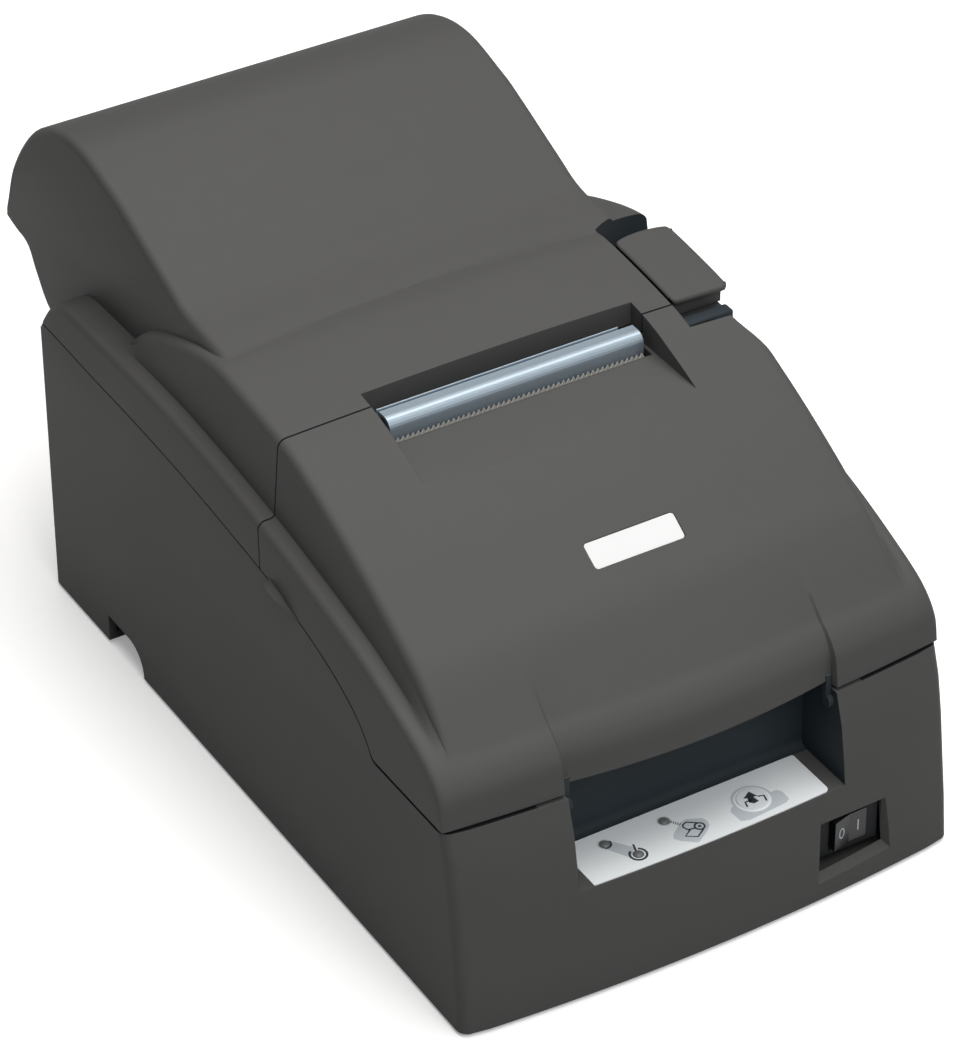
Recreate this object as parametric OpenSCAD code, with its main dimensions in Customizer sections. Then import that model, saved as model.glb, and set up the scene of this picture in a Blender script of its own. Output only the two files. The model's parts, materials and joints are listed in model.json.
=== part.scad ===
// Dot matrix receipt printer: two hinged covers over a print mechanism, a
// paper roll bay and a take-up spool. Millimetres, +Z up, front face towards -Y.

/* [Case] */
// Width of the lower case at its foot
case_w = 160; // [150:1:170]
// Depth of the lower case at its foot, on the centre line
case_d = 248; // [240:1:256]
// How far the hump reaches behind the case
hump_reach = 38; // [34:1:42]
// Height of the rear hump above the table
overall_h = 157.5; // [154:0.5:161]
// Thickness of the moulded walls
wall = 2.5; // [2:0.1:3.2]
// Draft of the side walls over the height of the case, each side
case_draft = 1; // [0.5:0.1:1.5]
// Radius of the bowed front in plan
front_bow_r = 711; // [600:1:900]
// Radius of the upright corners of the case
corner_r = 3; // [2:0.5:5]
// Height of the rubber feet below the case
foot_h = 1.2; // [0.8:0.1:2]
// Diameter of a rubber foot
foot_dia = 13; // [10:0.5:16]

/* [Covers] */
// How far the covers stand back from the widest part of the case
cover_in = 0.7; // [0.4:0.1:1.5]
// Width of the shoulder band beside the hood
band_w = 7; // [6:0.1:8]
// Rise of the crown over the width of the hood
crown_h = 1.7; // [1:0.1:2.5]
// Left side of the hump, measured in from the side of the covers
hump_in_left = 10.3; // [9:0.1:12]
// Right side of the hump, measured in from the side of the covers
hump_in_right = 17.8; // [16:0.1:20]
// Where the front cover ends and the rear cover begins
split_y = -31.6; // [-34:0.1:-29]
// Gap between the two covers and between covers and case
cover_gap = 0.5; // [0.3:0.1:0.8]
// Half width of the paper exit
slot_half = 43.5; // [42:0.5:46]
// Floor of the scoop in front of the paper exit
scoop_z = 121.3; // [119:0.1:123]

/* [Hinges and catches] */
// Front cover hinge, distance behind the front of the case
front_hinge_in = 13.5; // [12:0.5:14]
// Front cover hinge, height
front_hinge_z = 59.5; // [58:0.5:61]
// Rear cover hinge, distance in front of the case's rear face
rear_hinge_in = 4.7; // [4:0.1:6]
// Rear cover hinge, height
rear_hinge_z = 92.5; // [91:0.5:93]
// Diameter of the front hinge pins
front_pin_dia = 2.6; // [2:0.1:3]
// Diameter of the rear hinge pins
rear_pin_dia = 3; // [2:0.1:4]
// Radial clearance of every running fit
run_clear = 0.05; // [0.03:0.01:0.08]
// Distance between the opening lever's pivot and the split
lever_pivot_in = 25; // [20:1:28]
// Height of the opening lever's pivot
lever_pivot_z = 117; // [114:1:120]

/* [Control panel] */
// Half width of the recess in the case front
recess_half = 43; // [40:0.5:45]
// Height of the recess floor
recess_z = 35; // [32:0.5:38]
// Depth of the recess from the front of the case
recess_d = 26.5; // [22:0.5:30]
// Diameter of the feed button
button_dia = 9; // [8:0.5:11]
// Travel of the feed button
button_travel = 0.8; // [0.5:0.1:1.2]
// Diameter of an indicator
led_dia = 3; // [2:0.5:5]

/* [Power switch] */
// Middle of the power switch, measured in from the right side
switch_in = 34; // [30:0.5:36]
// Height of the switch centre
switch_z = 17; // [13:0.1:18]
// Width of the rocker
rocker_w = 11.7; // [10:0.1:13]
// Height of the rocker
rocker_h = 10; // [8:0.1:12]

/* [Print mechanism] */
// Inside distance between the side frames
frame_gap = 124; // [120:1:128]
// Thickness of the side frames
frame_t = 1.5; // [1:0.1:2]
// Diameter of the carriage guide shaft
guide_dia = 6; // [5:0.5:8]
// Diameter of the feed and pressure rollers
roller_dia = 12; // [10:0.5:13]
// Diameter of the roller shafts
shaft_dia = 4; // [3:0.1:5]
// Gear module
gear_m = 1; // [0.8:0.1:1.2]

/* [Paper bay] */
// Width of the paper the machine takes
paper_w = 76; // [57.5:0.5:76]
// Largest paper roll the bay takes
roll_dia = 83; // [80:1:84]
// Thickness of the tray walls
tray_t = 1.6; // [1.2:0.1:2]
// Diameter of the take-up spool flanges
spool_dia = 52; // [44:1:56]
// Diameter of the take-up spool shaft
spool_shaft_dia = 6; // [5:0.5:7]

/* [Hidden] */
$fn = 48;
e = 0.01;

half_w = case_w / 2;
front_y = -143;
rear_y = front_y + case_d;
// How far everything behind the print mechanism moves back when the case is longer
back = case_d - 248;
cover_half = half_w - cover_in;
hood_half = cover_half - band_w;
hump_left = cover_half - hump_in_left;
hump_right = cover_half - hump_in_right;
switch_x = half_w - switch_in;
front_hinge_y = front_y + front_hinge_in;
rear_hinge_y = rear_y - rear_hinge_in;
seam_front_z = 63.4;
floor_z = foot_h + wall;

// Side outlines as [y, z], nose first: case front, seam, shoulder band, hood, hump
case_front = [[0, 0], [15, 1.3], [26.5, 2.8], [42, 4.7], [53.5, 6.7], [64, 9.9], [100, 20]];
seam_fore = [[-95, seam_front_z], [-92.6, 63.6], [-90.9, 64.8], [-88.5, 68.3], [-81.9, 73.9], [-72.4, 78.7], [-60.7, 82.7], [-47, 85.9], [-31.6, 88.9], [6.3, 92.7]];
seam_aft = [[38.3, 94.5], [65.3, 94.9], [97.7, 95.7], [101.5, 94.6], [104, 92.5], [105, 89.5], [106, 80]];
band_fore = [[-128.3, 63.5], [-127.9, 67], [-126.2, 74], [-120, 80.4], [-107.1, 86.4], [-84.6, 94.4], [-59.4, 100], [-32.4, 104.8], [0.2, 108.6]];
band_aft = [[26.7, 110.2], [54.1, 110], [80.6, 109.6], [89, 108.3], [94.9, 104.9], [100.4, 98], [101.6, 95]];
hood_fore = [[-128.3, 63.5], [-127.9, 67], [-126.2, 74], [-120, 80.4], [-104.7, 95], [-93, 102.4], [-77.3, 111], [-62, 118.4], [-46.6, 124.8], [-31.6, 129.3], [-4, 132.5]];
hood_aft = [[8, 132.4], [21, 129.8], [38.6, 123.7], [49, 118.5], [55, 113.5], [58, 109.9]];
hump_back = [[-10, 128], [8, 133.6], [28, 136], [39.4, 140.5], [62.4, 150.3], [71.3, 153.3], [89.4, overall_h], [104.9, overall_h - 1.8]];
// Tail of the hump, its depth as a share of the reach behind the case
hump_tail = [[0.363, overall_h - 8.4], [0.647, overall_h - 18.9], [0.855, 127], [0.963, 115], [1, 109.5], [0.982, 107], [0.821, 104.7], [0.671, 102.9], [0.568, 96.8], [0.392, 88.1], [0.132, 83]];
function moved(k) = [for (q = k) q + [back, 0]];

// Where the shafts run, as [y, z]
guide_at = [-52, 62];
feed_at = [-30, 46];
press_at = [feed_at[0] - roller_dia - 0.35, feed_at[1]];
feed_teeth = 20;
idler_teeth = 16;
pinion_teeth = 10;
idler_at = feed_at + gear_m * (feed_teeth + idler_teeth) / 2 * [cos(27), -sin(27)];
pinion_at = idler_at + gear_m * (idler_teeth + pinion_teeth) / 2 * [cos(23), -sin(23)];
frame_x = frame_gap / 2;
gear_x = frame_x + frame_t + 0.7;
gear_w = 4;
bay_x = paper_w / 2 + 4;
bay_r = roll_dia / 2 + 1.5;
bay_at = [rear_y - bay_r - 10, bay_r + 11];
spool_at = [rear_y - 19, 112];
spool_teeth = 28;
takeup_teeth = 12;
takeup_at = spool_at - [0, gear_m * (spool_teeth + takeup_teeth) / 2];
belt_y = -80;
belt_z = 57;
pulley_r = 5;
lever_pivot_y = split_y + lever_pivot_in;
latch_at = [-13, 84];

// ---------------------------------------------------------------- helpers

// A point of the smooth curve through four neighbouring keys
function knot(a, b, c, d, t) = 0.5 * (2 * b + (c - a) * t + (2 * a - 5 * b + 4 * c - d) * t * t + (3 * b - a - 3 * c + d) * t * t * t);

// The whole curve through the keys, n steps between two keys
function smooth(k, n) = concat([for (i = [0:len(k) - 2]) for (s = [0:n - 1]) knot(k[max(i - 1, 0)], k[i], k[i + 1], k[min(i + 2, len(k) - 1)], s / n)], [k[len(k) - 1]]);

// Moves every point of an outline to the right of its direction
function turn_in(p, d) = [for (i = [0:len(p) - 1]) let (v = p[min(i + 1, len(p) - 1)] - p[max(i - 1, 0)]) p[i] + d / norm(v) * [v[1], -v[0]]];

band_line = smooth(concat(band_fore, moved(band_aft)), 3);
hood_line = smooth(concat(hood_fore, moved(hood_aft)), 3);
seam_line = concat([[-146, seam_front_z]], smooth(concat(seam_fore, moved(seam_aft)), 3));
hump_line = smooth(concat(moved(hump_back), [for (k = hump_tail) [rear_y + hump_reach * k[0], k[1]]]), 2);

function band_z(y) = lookup(y, band_line);
function hood_z(y) = y > 58 + back ? band_z(y) : max(lookup(y, hood_line), band_z(y));

// Stitches slices of equal point count into one closed solid, its ends fanned out from a hub
module loft(slices, hub = []) {
    n = len(slices[0]);
    m = len(slices);
    pts = concat([for (s = slices) for (p = s) p], [for (h = hub) h]);
    lower = [for (j = [0:m - 2]) for (i = [0:n - 1]) [j * n + i, (j + 1) * n + i, j * n + (i + 1) % n]];
    upper = [for (j = [0:m - 2]) for (i = [0:n - 1]) [j * n + (i + 1) % n, (j + 1) * n + i, (j + 1) * n + (i + 1) % n]];
    flat = [[for (i = [0:n - 1]) i], [for (i = [n - 1:-1:0]) (m - 1) * n + i]];
    fans = concat([for (i = [0:n - 1]) [m * n, i, (i + 1) % n]], [for (i = [0:n - 1]) [m * n + 1, (m - 1) * n + (i + 1) % n, (m - 1) * n + i]]);
    polyhedron(pts, concat(lower, upper, len(hub) == 2 ? fans : flat), convexity = 6);
}

// Extrudes a [y, z] outline along X from x0 to x1
module along_x(x0, x1) {
    translate([x0, 0, 0])
    rotate([90, 0, 90])
    linear_extrude(x1 - x0)
    children();
}

// A round bar along X at a [y, z] place
module rod(at, dia, x0, x1) {
    translate([x0, at[0], at[1]])
    rotate([0, 90, 0])
    cylinder(d = dia, h = x1 - x0);
}

// A box given by its two far corners
module block(a, b) {
    translate(a)
    cube(b - a);
}

// Spur gear outline with straight flanks, one tooth pointing at the given angle
module gear_shape(teeth, at_deg) {
    rp = gear_m * teeth / 2;
    half = 90 / teeth;
    circle(r = rp - gear_m);
    for (i = [0:teeth - 1])
        rotate(at_deg + i * 360 / teeth)
        polygon([for (q = [[-1, -1.1, 0.62], [-0, 0, 0.42], [0.75, 0.75, 0.2]]) [rp + q[0] * gear_m - (q[0] < 0 ? 0.5 : 0), -rp * sin(2 * half * q[2])], for (q = [[0.75, 0.75, 0.2], [0, 0, 0.42], [-1, -1.1, 0.62]]) [rp + q[0] * gear_m - (q[0] < 0 ? 0.5 : 0), rp * sin(2 * half * q[2])]]);
}

// ---------------------------------------------------------------- envelopes

// Outline of the case at height z, drawn inwards by t
function case_front_y(x, z) = front_y + lookup(z, case_front) + x * x / (2 * front_bow_r);
function corner(cx, cy, r, a0) = [for (a = [0:30:90]) [cx + r * cos(a0 + a), cy + r * sin(a0 + a)]];
function case_slice(z, t) =
    let (w = half_w - case_draft * z / 96 - t, r = max(corner_r - t, 0.8), f = case_front_y(w, z) + t, b = rear_y - t)
    [for (p = concat(corner(-w + r, f + r, r, 180), [for (x = [-50:25:50]) [x, case_front_y(x, z) + t]], corner(w - r, f + r, r, 270), corner(w - r, b - r, r, 0), corner(-w + r, b - r, r, 90))) [p[0], p[1], z]];

module case_solid(z0, t) {
    loft([for (z = [z0, 15, 26.5, 42, 53.5, 64, 98]) case_slice(z, t)]);
}

// Everything above the seam between case and covers
module above_seam(gap) {
    along_x(-half_w - 10, half_w + 10)
    polygon(concat([for (p = seam_line) p + [0, gap]], [[rear_y + 45, 80], [rear_y + 45, 200], [-146, 200]]));
}

// Everything the covers leave to the case, up to the seam and the gap above it
module below_seam(gap) {
    along_x(-half_w - 10, half_w + 10)
    polygon(concat([for (p = seam_line) p + [0, gap]], [[rear_y + 1, 0], [-160, 0], [-160, seam_front_z + gap]]));
}

// Bow of the front, fading out towards the split
function bow(x, y) = -(cover_half * cover_half - x * x) / (2 * front_bow_r) * min(1, max(0, (split_y + 8 - y) / 50));

// Shallow dent of the nose between its two creases
function dent(x, y, z) = y > -80 || abs(x) > recess_half ? 0 : 2.4 * pow(x / recess_half, 2) * min(1, max(0, (94 - z) / 28));

// Sections across the covers: place from the centre, drop of the edge, 1 on the hood
side_cuts = [[cover_half, 1.6, 0], [cover_half - 0.5, 0.5, 0], [cover_half - 1.9, 0, 0], [hood_half + 2, 0, 0], [hood_half, 1.4, 1], [hood_half - 0.7, 0.5, 1], [hood_half - 2, 0, 1]];
front_mid_cuts = [[58, 0, 1], [recess_half + 0.7, 0, 1], [recess_half - 2.5, 0, 1], [24, 0, 1]];
rear_mid_cuts = [[40, 0, 1]];
function both_sides(c) = concat([for (q = c) [-q[0], q[1], q[2]]], [[0, 0, 1]], [for (i = [len(c) - 1:-1:0]) c[i]]);
function crown(x, y) = y > 58 + back ? 0 : crown_h * (1 - pow(x / hood_half, 2));
function cover_z(c, y) = (c[2] == 1 ? hood_z(y) + crown(c[0], y) : band_z(y)) - c[1];
function cover_slice(c, ys) = concat(
    [[c[0], ys[0] + bow(c[0], ys[0]), 60], [c[0], ys[len(ys) - 1], 60]],
    [for (i = [len(ys) - 1:-1:0]) let (y = ys[i], z = cover_z(c, y)) [c[0], y + bow(c[0], y) + dent(c[0], y, z), z]]);

front_stations = [-128.3, -127.9, -126.2, -123.5, -120, -114, -106, -96, -84, -70, -56, -43, split_y - cover_gap / 2];
rear_stations = concat([split_y + cover_gap / 2, -18, -4], [for (y = [8, 21, 32, 42, 49, 55, 58, 80, 88.5, 92.5, 97, 100.4, 101.6]) y + back]);

module cover_solid(ys, mid) {
    loft([for (c = both_sides(concat(side_cuts, mid))) cover_slice(c, ys)]);
}

// Inside of a cover: one outline under the band, a taller one under the hood
function inner_z(y, hood) = hood ? min(hood_z(y - wall), hood_z(y + wall)) - wall : min(band_z(y - wall), band_z(y + wall)) - wall;
module cover_void(ys) {
    for (c = [[cover_half - wall, false], [hood_half - wall, true]])
        along_x(-c[0], c[0])
        polygon(concat([for (y = ys) [y, inner_z(y, c[1])]], [[ys[len(ys) - 1], 50], [ys[0], 50]]));
}

// The hump over the take-up spool
module hump_solid() {
    soft = [[0, 2.25], [0.3, 1.25], [1.1, 0.4], [2.4, 0]];
    ends = concat([for (q = soft) [-hump_left + q[0], q[1]]], [for (i = [3:-1:0]) [hump_right - soft[i][0], soft[i][1]]]);
    n = len(hump_line) - 1;
    loft([for (c = ends)
        [for (i = [n:-1:0]) let (v = hump_line[min(i + 1, n)] - hump_line[max(i - 1, 0)], d = c[1] * min(1, 0.2 + abs(i - 24) / 6))
            [c[0], hump_line[i][0] + d / norm(v) * v[1], hump_line[i][1] - d / norm(v) * v[0]]]],
        [[-hump_left, rear_y - 30, 115], [hump_right, rear_y - 30, 115]]);
}

module hump_void() {
    p = turn_in(hump_line, wall);
    // an inner point that would run backwards round the tail is left out
    q = [for (i = [3:len(p) - 1]) if ((p[i] - p[i - 1]) * (hump_line[i] - hump_line[i - 1]) > 0) p[i]];
    along_x(-hump_left + wall, hump_right - wall)
    polygon(concat(q, [[rear_y - 1, 80], [rear_y - 45, 60], [q[0][0], 60]]));
}

// ---------------------------------------------------------------- lower case

module lower_case() color("#4c4e4f") {
    difference() {
        case_solid(foot_h, 0);
        above_seam(0);
        difference() {
            case_solid(floor_z, wall);
            block([-recess_half - wall, front_y, recess_z - wall], [recess_half + wall, front_y + recess_d + wall, 120]);
        }
        // recess with its panel floor
        block([-recess_half, front_y - 10, recess_z], [recess_half, front_y + recess_d, 120]);
        for (p = led_places)
            translate([p[0], p[1], 20])
            cylinder(d = led_dia + 0.2, h = 20);
        translate([button_at[0], button_at[1], 20])
        cylinder(d = button_dia + 2 * run_clear, h = 20);
        // bevelled switch opening
        block([switch_x - 10.3, front_y - 5, switch_z - 7.1], [switch_x + 10.3, front_y + 12, switch_z + 7.1]);
        translate([switch_x, front_y + 2.9, switch_z])
        rotate([90, 0, 0])
        loft([for (s = [[10.3, 7.1, -3], [12.2, 9.3, 0], [13.5, 10.8, 2]]) [[-s[0], -s[1], s[2]], [s[0], -s[1], s[2]], [s[0], s[1], s[2]], [-s[0], s[1], s[2]]]]);
        // cable notch in the left wall, round at its front top corner
        along_x(-half_w - 1, -half_w + 11)
        polygon(concat([[45.5 + back, -1], [67.8 + back, -1], [67.8 + back, 10.5]], [for (a = [0:15:90]) [54.5 + back - 9 * sin(a), 1.5 + 9 * cos(a)]]));
        // rear cover passes over a lowered rear wall
        block([-hump_left - 1, rear_y - 10, rear_hinge_z - 18], [hump_right + 1, rear_y + 5, 120]);
        block([hump_right, rear_y - 2.5, rear_hinge_z + 0.2], [half_w + 1, rear_y + 5, 120]);
        // the front rim gives way beside the recess to the swinging cover
        block([-recess_half - 9, front_y - 10, seam_front_z - 0.3], [recess_half + 9, front_hinge_y + 2, 70]);
        // opening for the connector plate
        block([-46, rear_y - 6, 8], [46, rear_y + 1, 33]);
        // seats of the feet
        for (p = foot_places)
            translate([p[0], p[1], foot_h - 1])
            cylinder(d = foot_dia + 0.2, h = 2.2);
        // finger scoops under the tabs of the front cover
        for (s = [-1, 1])
            translate([s * (half_w + 1.4), -43, 79])
            rotate([0, 90, 0])
            cylinder(r = 9, h = 4, center = true);
        rod([front_hinge_y, front_hinge_z], front_pin_dia, -recess_half - 6, recess_half + 6);
        // room for the ears of the rear hinge
        for (s = [-1, 1])
            rod([rear_hinge_y, rear_hinge_z], 6.8, s > 0 ? half_w - 10 : -half_w + 6.6, s > 0 ? half_w - 6.6 : -half_w + 10);
    }
    // posts under the chassis, the panel board and the tray
    for (x = [-52, 52], y = [-92, 0])
        block([x - 4, y - 4, floor_z - e], [x + 4, y + 4, 8]);
    for (x = [-34, 34])
        block([x - 2, -131, 27.6], [x + 2, -127, recess_z - wall + e]);
    for (x = [-35, 35], y = [20 + back, 84 + back])
        block([x - 3, y - 3, floor_z - e], [x + 3, y + 3, 5]);
    for (x = [-half_w + 10, half_w - 10], y = [18 + back, 92 + back])
        block([x - 3, y - 3, floor_z - e], [x + 3, y + 3, 84]);
    // wall behind the recess, up inside the cover
    block([-recess_half, front_y + recess_d, seam_front_z - 2], [recess_half, front_y + recess_d + wall, seam_front_z + 8]);
    // ribs across the floor
    for (y = [-70, -45, -20])
        block([-40, y - 0.6, floor_z - e], [40, y + 0.6, 7.2]);
    // bosses of the rear hinge
    for (s = [-1, 1])
        difference() {
            block([s > 0 ? half_w - 6.6 : -half_w + 2.8, rear_hinge_y - 5, 84], [s > 0 ? half_w - 2.8 : -half_w + 6.6, rear_y - 1, 92]);
            rod([rear_hinge_y, rear_hinge_z], rear_pin_dia, -90, 90);
        }
}

foot_places = [for (x = [-half_w + 18, half_w - 18], y = [front_y + 25, rear_y - 17]) [x, y]];
module rubber_feet() color("#202224") {
    for (p = foot_places)
        translate([p[0], p[1], 0])
        cylinder(d = foot_dia, h = foot_h * 2);
}

// ---------------------------------------------------------------- control panel

led_places = [[-26.8, -124.9], [-21.3, -133.1], [-7.9, -125.1]];
button_at = [17.7, -130];
board_z = recess_z - wall - 4.9;

module panel_label() color("#d8dcdf") {
    difference() {
        linear_extrude(recess_z + 0.3)
        polygon(concat([[-38.3, -121]], [for (x = [-38.3:12.55:37]) [x, case_front_y(x, recess_z) + 1.6]], [[37, -121]]));
        block([-60, -150, -1], [60, -100, recess_z]);
        for (p = led_places)
            translate([p[0], p[1], 30])
            cylinder(d = led_dia + 0.2, h = 10);
        translate([button_at[0], button_at[1], 30])
        cylinder(d = button_dia + 0.6, h = 10);
    }
}

module panel_board() color("#2f5d3a") {
    block([-37, -136, board_z - 1.6], [37, -119, board_z]);
}

module status_leds() color("#7f8a86") {
    for (p = led_places)
        translate([p[0], p[1], board_z])
        union() {
            cylinder(d = led_dia, h = recess_z + 0.5 - board_z);
            cylinder(d = led_dia + 0.9, h = 1.2);
        }
}

module feed_switch() color("#1d1f20") {
    translate([button_at[0] - 3, button_at[1] - 3, board_z])
    cube([6, 6, 0.8]);
}

module feed_button() color("#c3c9ce") {
    translate([button_at[0], button_at[1], board_z + 0.8 + button_travel + 0.1])
    union() {
        cylinder(d = button_dia, h = recess_z + 0.6 - board_z - 0.9 - button_travel);
        cylinder(d = button_dia + 2.6, h = 1.4);
    }
}

// ---------------------------------------------------------------- power switch

rocker_axis_y = front_y + 10;
module switch_housing() color("#17191b") {
    difference() {
        union() {
            block([switch_x - 10, front_y + 7, switch_z - 6.9], [switch_x + 10, front_y + 24, switch_z + 6.9]);
            for (x = [-6, 0, 6])
                block([switch_x + x - 1.5, front_y + 24 - e, switch_z - 0.4], [switch_x + x + 1.5, front_y + 31, switch_z + 0.4]);
        }
        block([switch_x - rocker_w / 2 - 0.5, front_y, switch_z - rocker_h / 2 - 0.3], [switch_x + rocker_w / 2 + 0.5, front_y + 18.5, switch_z + rocker_h / 2 + 0.3]);
        translate([switch_x, rocker_axis_y, switch_z - 6.5])
        cylinder(r = 1 + run_clear, h = 13);
    }
}

module power_rocker() color("#141617") {
    translate([switch_x, rocker_axis_y, switch_z])
    difference() {
        union() {
            translate([0, 0, -rocker_h / 2])
            rotate([0, 0, 8])
            linear_extrude(rocker_h)
            polygon([[-rocker_w / 2, -3.9], [0, -3.2], [rocker_w / 2, -3.9], [rocker_w / 2 - 0.6, 0.5], [2.4, 2.6], [-2.4, 2.6], [-rocker_w / 2 + 0.6, 0.5]]);
            cylinder(r = 1, h = rocker_h + 2.4, center = true);
        }
    }
}

// ---------------------------------------------------------------- print mechanism

module chassis_plate() color("#9a9fa3") {
    difference() {
        block([-frame_x, -97, 8], [frame_x, 5, 9.5]);
        for (p = screw_places)
            translate([p[0], p[1], 5])
            cylinder(d = 3.4, h = 6);
        translate([-48, belt_y, 5])
        cylinder(d = 20, h = 8);
    }
}

screw_places = [[-52, -92], [52, -92], [-52, 0], [52, 0]];
module chassis_screws() color("#b9bdc0") {
    for (p = screw_places)
        translate([p[0], p[1], 8])
        union() {
            cylinder(d = 3, h = 3);
            translate([0, 0, 1.5])
            cylinder(d = 6, h = 1.8);
        }
}

module frame_shape() {
    difference() {
        polygon([[-97, 8], [12, 8], [12, 50], [2, 62], [2, 90], [-24, 90], [-40, 98], [-44, 98], [-44, 90], [-86, 90], [-97, 70]]);
        translate(guide_at) circle(d = guide_dia);
        translate(feed_at) circle(d = shaft_dia + 2 * run_clear);
        translate(press_at) circle(d = shaft_dia + 2 * run_clear);
        translate([-70, 30]) circle(d = 14);
    }
}

module left_frame() color("#a4a9ad") {
    along_x(-frame_x - frame_t, -frame_x)
    frame_shape();
}

module right_frame() color("#a4a9ad") {
    along_x(frame_x, frame_x + frame_t)
    difference() {
        frame_shape();
        translate(idler_at) circle(d = 4);
        translate(pinion_at) circle(d = 8);
        translate(latch_at) circle(d = 4);
    }
}

module guide_shaft() color("#d5d9dc") {
    rod(guide_at, guide_dia, -frame_x - frame_t - 0.5, frame_x + frame_t + 0.5);
}

module guide_rail() color("#a4a9ad") {
    along_x(-frame_x, frame_x)
    polygon([[-68, 68.2], [-62, 68.2], [-62, 76], [-63.2, 76], [-63.2, 69.4], [-68, 69.4]]);
}

module platen() color("#34373a") {
    along_x(-frame_x, frame_x)
    polygon([[-36, 80], [-36, 95], [-35, 96], [-31, 96], [-31, 78], [-35, 78]]);
}

module paper_guide() color("#25282a") {
    along_x(-bay_x + 0.5, bay_x - 0.5)
    difference() {
        union() {
            translate(feed_at) circle(r = roller_dia / 2 + 2.4);
            polygon([[feed_at[0] + 3, feed_at[1] - 8.4], [bay_at[0] - bay_r - 1.8, 40], [bay_at[0] - bay_r - 1.8, 41.6], [feed_at[0] + 3, feed_at[1] - 6.8]]);
        }
        translate(feed_at) circle(r = roller_dia / 2 + 0.8);
        translate(feed_at - [20, 4]) square([40, 30]);
    }
    // legs down to the chassis plate
    for (x = [-30, 30])
        block([x - 2, feed_at[0] - 2, 9.5], [x + 2, feed_at[0] + 2, feed_at[1] - 8]);
}

module feed_roller() color("#2a2c2e") {
    rod(feed_at, shaft_dia, -frame_x - frame_t - 1, gear_x + gear_w);
    for (x = [-26, 0, 26])
        rod(feed_at, roller_dia, x - 9, x + 9);
}

module feed_gear() color("#e3e0d6") {
    along_x(gear_x, gear_x + gear_w)
    translate(feed_at)
    difference() {
        gear_shape(feed_teeth, -27);
        circle(d = shaft_dia);
    }
}

module pressure_roller() color("#2a2c2e") {
    rod(press_at, shaft_dia, -frame_x - frame_t - 1, frame_x + frame_t + 0.6);
    for (x = [-26, 0, 26])
        rod(press_at, roller_dia, x - 8, x + 8);
}

idler_deg = 153 + 180 / idler_teeth;
module idler_gear() color("#e3e0d6") {
    along_x(gear_x, gear_x + gear_w)
    translate(idler_at)
    difference() {
        gear_shape(idler_teeth, idler_deg);
        circle(d = 4 + 2 * run_clear);
    }
}

module idler_stud() color("#b9bdc0") {
    rod(idler_at, 4, frame_x, gear_x + gear_w + 0.4);
    rod(idler_at, 6, gear_x + gear_w + 0.3, gear_x + gear_w + 1.1);
}

// The pinion's gap faces whichever idler tooth is nearest the line of centres
pinion_off = (157 + 180 - idler_deg) % (360 / idler_teeth);
pinion_deg = 157 + 180 / pinion_teeth + pinion_off * idler_teeth / pinion_teeth;
module motor_pinion() color("#c9a95b") {
    along_x(gear_x, gear_x + gear_w)
    translate(pinion_at)
    gear_shape(pinion_teeth, pinion_deg);
    rod(pinion_at, 2, frame_x - 4, gear_x + gear_w + 0.5);
}

module feed_motor() color("#6f7478") {
    difference() {
        rod(pinion_at, 26, frame_x - 17, frame_x);
        rod(pinion_at, 2 + 2 * run_clear, frame_x - 6, frame_x + 1);
    }
}

module motor_bracket() color("#a4a9ad") {
    difference() {
        block([-frame_x, -97, 52], [-32, -66, 53.5]);
        translate([-48, belt_y, 50])
        cylinder(d = 8, h = 5);
    }
}

module carriage_motor() color("#6f7478") {
    difference() {
        translate([-48, belt_y, 24])
        cylinder(d = 28, h = 28);
        translate([-48, belt_y, 44])
        cylinder(d = 3 + 2 * run_clear, h = 9);
    }
}

module pulley(x) {
    translate([x, belt_y, belt_z - 0.8])
    difference() {
        union() {
            cylinder(r = pulley_r - 0.1, h = 5.6);
            cylinder(r = pulley_r + 1, h = 0.7);
            translate([0, 0, 4.9])
            cylinder(r = pulley_r + 1, h = 0.7);
        }
        translate([0, 0, -1])
        cylinder(r = 0.8, h = 0.5);
        // keyway that shows the pulley turning
        translate([2.6, 0, 5])
        cylinder(r = 0.9, h = 1.2);
    }
}

module drive_pulley() color("#d9d4c4") {
    pulley(-48);
    translate([-48, belt_y, 46])
    cylinder(d = 3, h = belt_z - 46);
}

module tension_pulley() color("#d9d4c4") {
    difference() {
        pulley(50);
        translate([50, belt_y, 50])
        cylinder(d = 3 + 2 * run_clear, h = 20);
    }
}

module tension_stud() color("#b9bdc0") {
    translate([50, belt_y, 9.5])
    cylinder(d = 5, h = belt_z - 1 - 9.5);
    translate([50, belt_y, belt_z - 1.1])
    cylinder(d = 3, h = 7);
}

module timing_belt() color("#1c1e20") {
    translate([0, belt_y, belt_z + 0.2])
    linear_extrude(3.6)
    difference() {
        union() {
            translate([-48, 0]) circle(r = pulley_r + 1);
            translate([50, 0]) circle(r = pulley_r + 1);
            translate([-48, -pulley_r - 1]) square([98, 2 * pulley_r + 2]);
        }
        translate([-48, 0]) circle(r = pulley_r);
        translate([50, 0]) circle(r = pulley_r);
        translate([-48, -pulley_r]) square([98, 2 * pulley_r]);
    }
}

module head_carriage() color("#2d3033") {
    difference() {
        block([-13, belt_y + pulley_r + 1.3, 54.2], [13, -44.5, 72]);
        rod(guide_at, guide_dia + 2 * run_clear, -20, 20);
        block([-14, -68.5, 67.9], [14, -60.6, 73]);
        block([-14, -80, 62], [14, -69.5, 73]);
    }
}

module print_head() color("#55595d") {
    block([-12, -60, 72], [12, -46, 78]);
    for (z = [79.5, 83, 86.5, 90])
        block([-12, -60, z], [12, -46, z + 2]);
    block([-8, -58, 77], [8, -46, 93.5]);
    block([-5, -47, 84], [5, -38.6, 92]);
}

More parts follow.
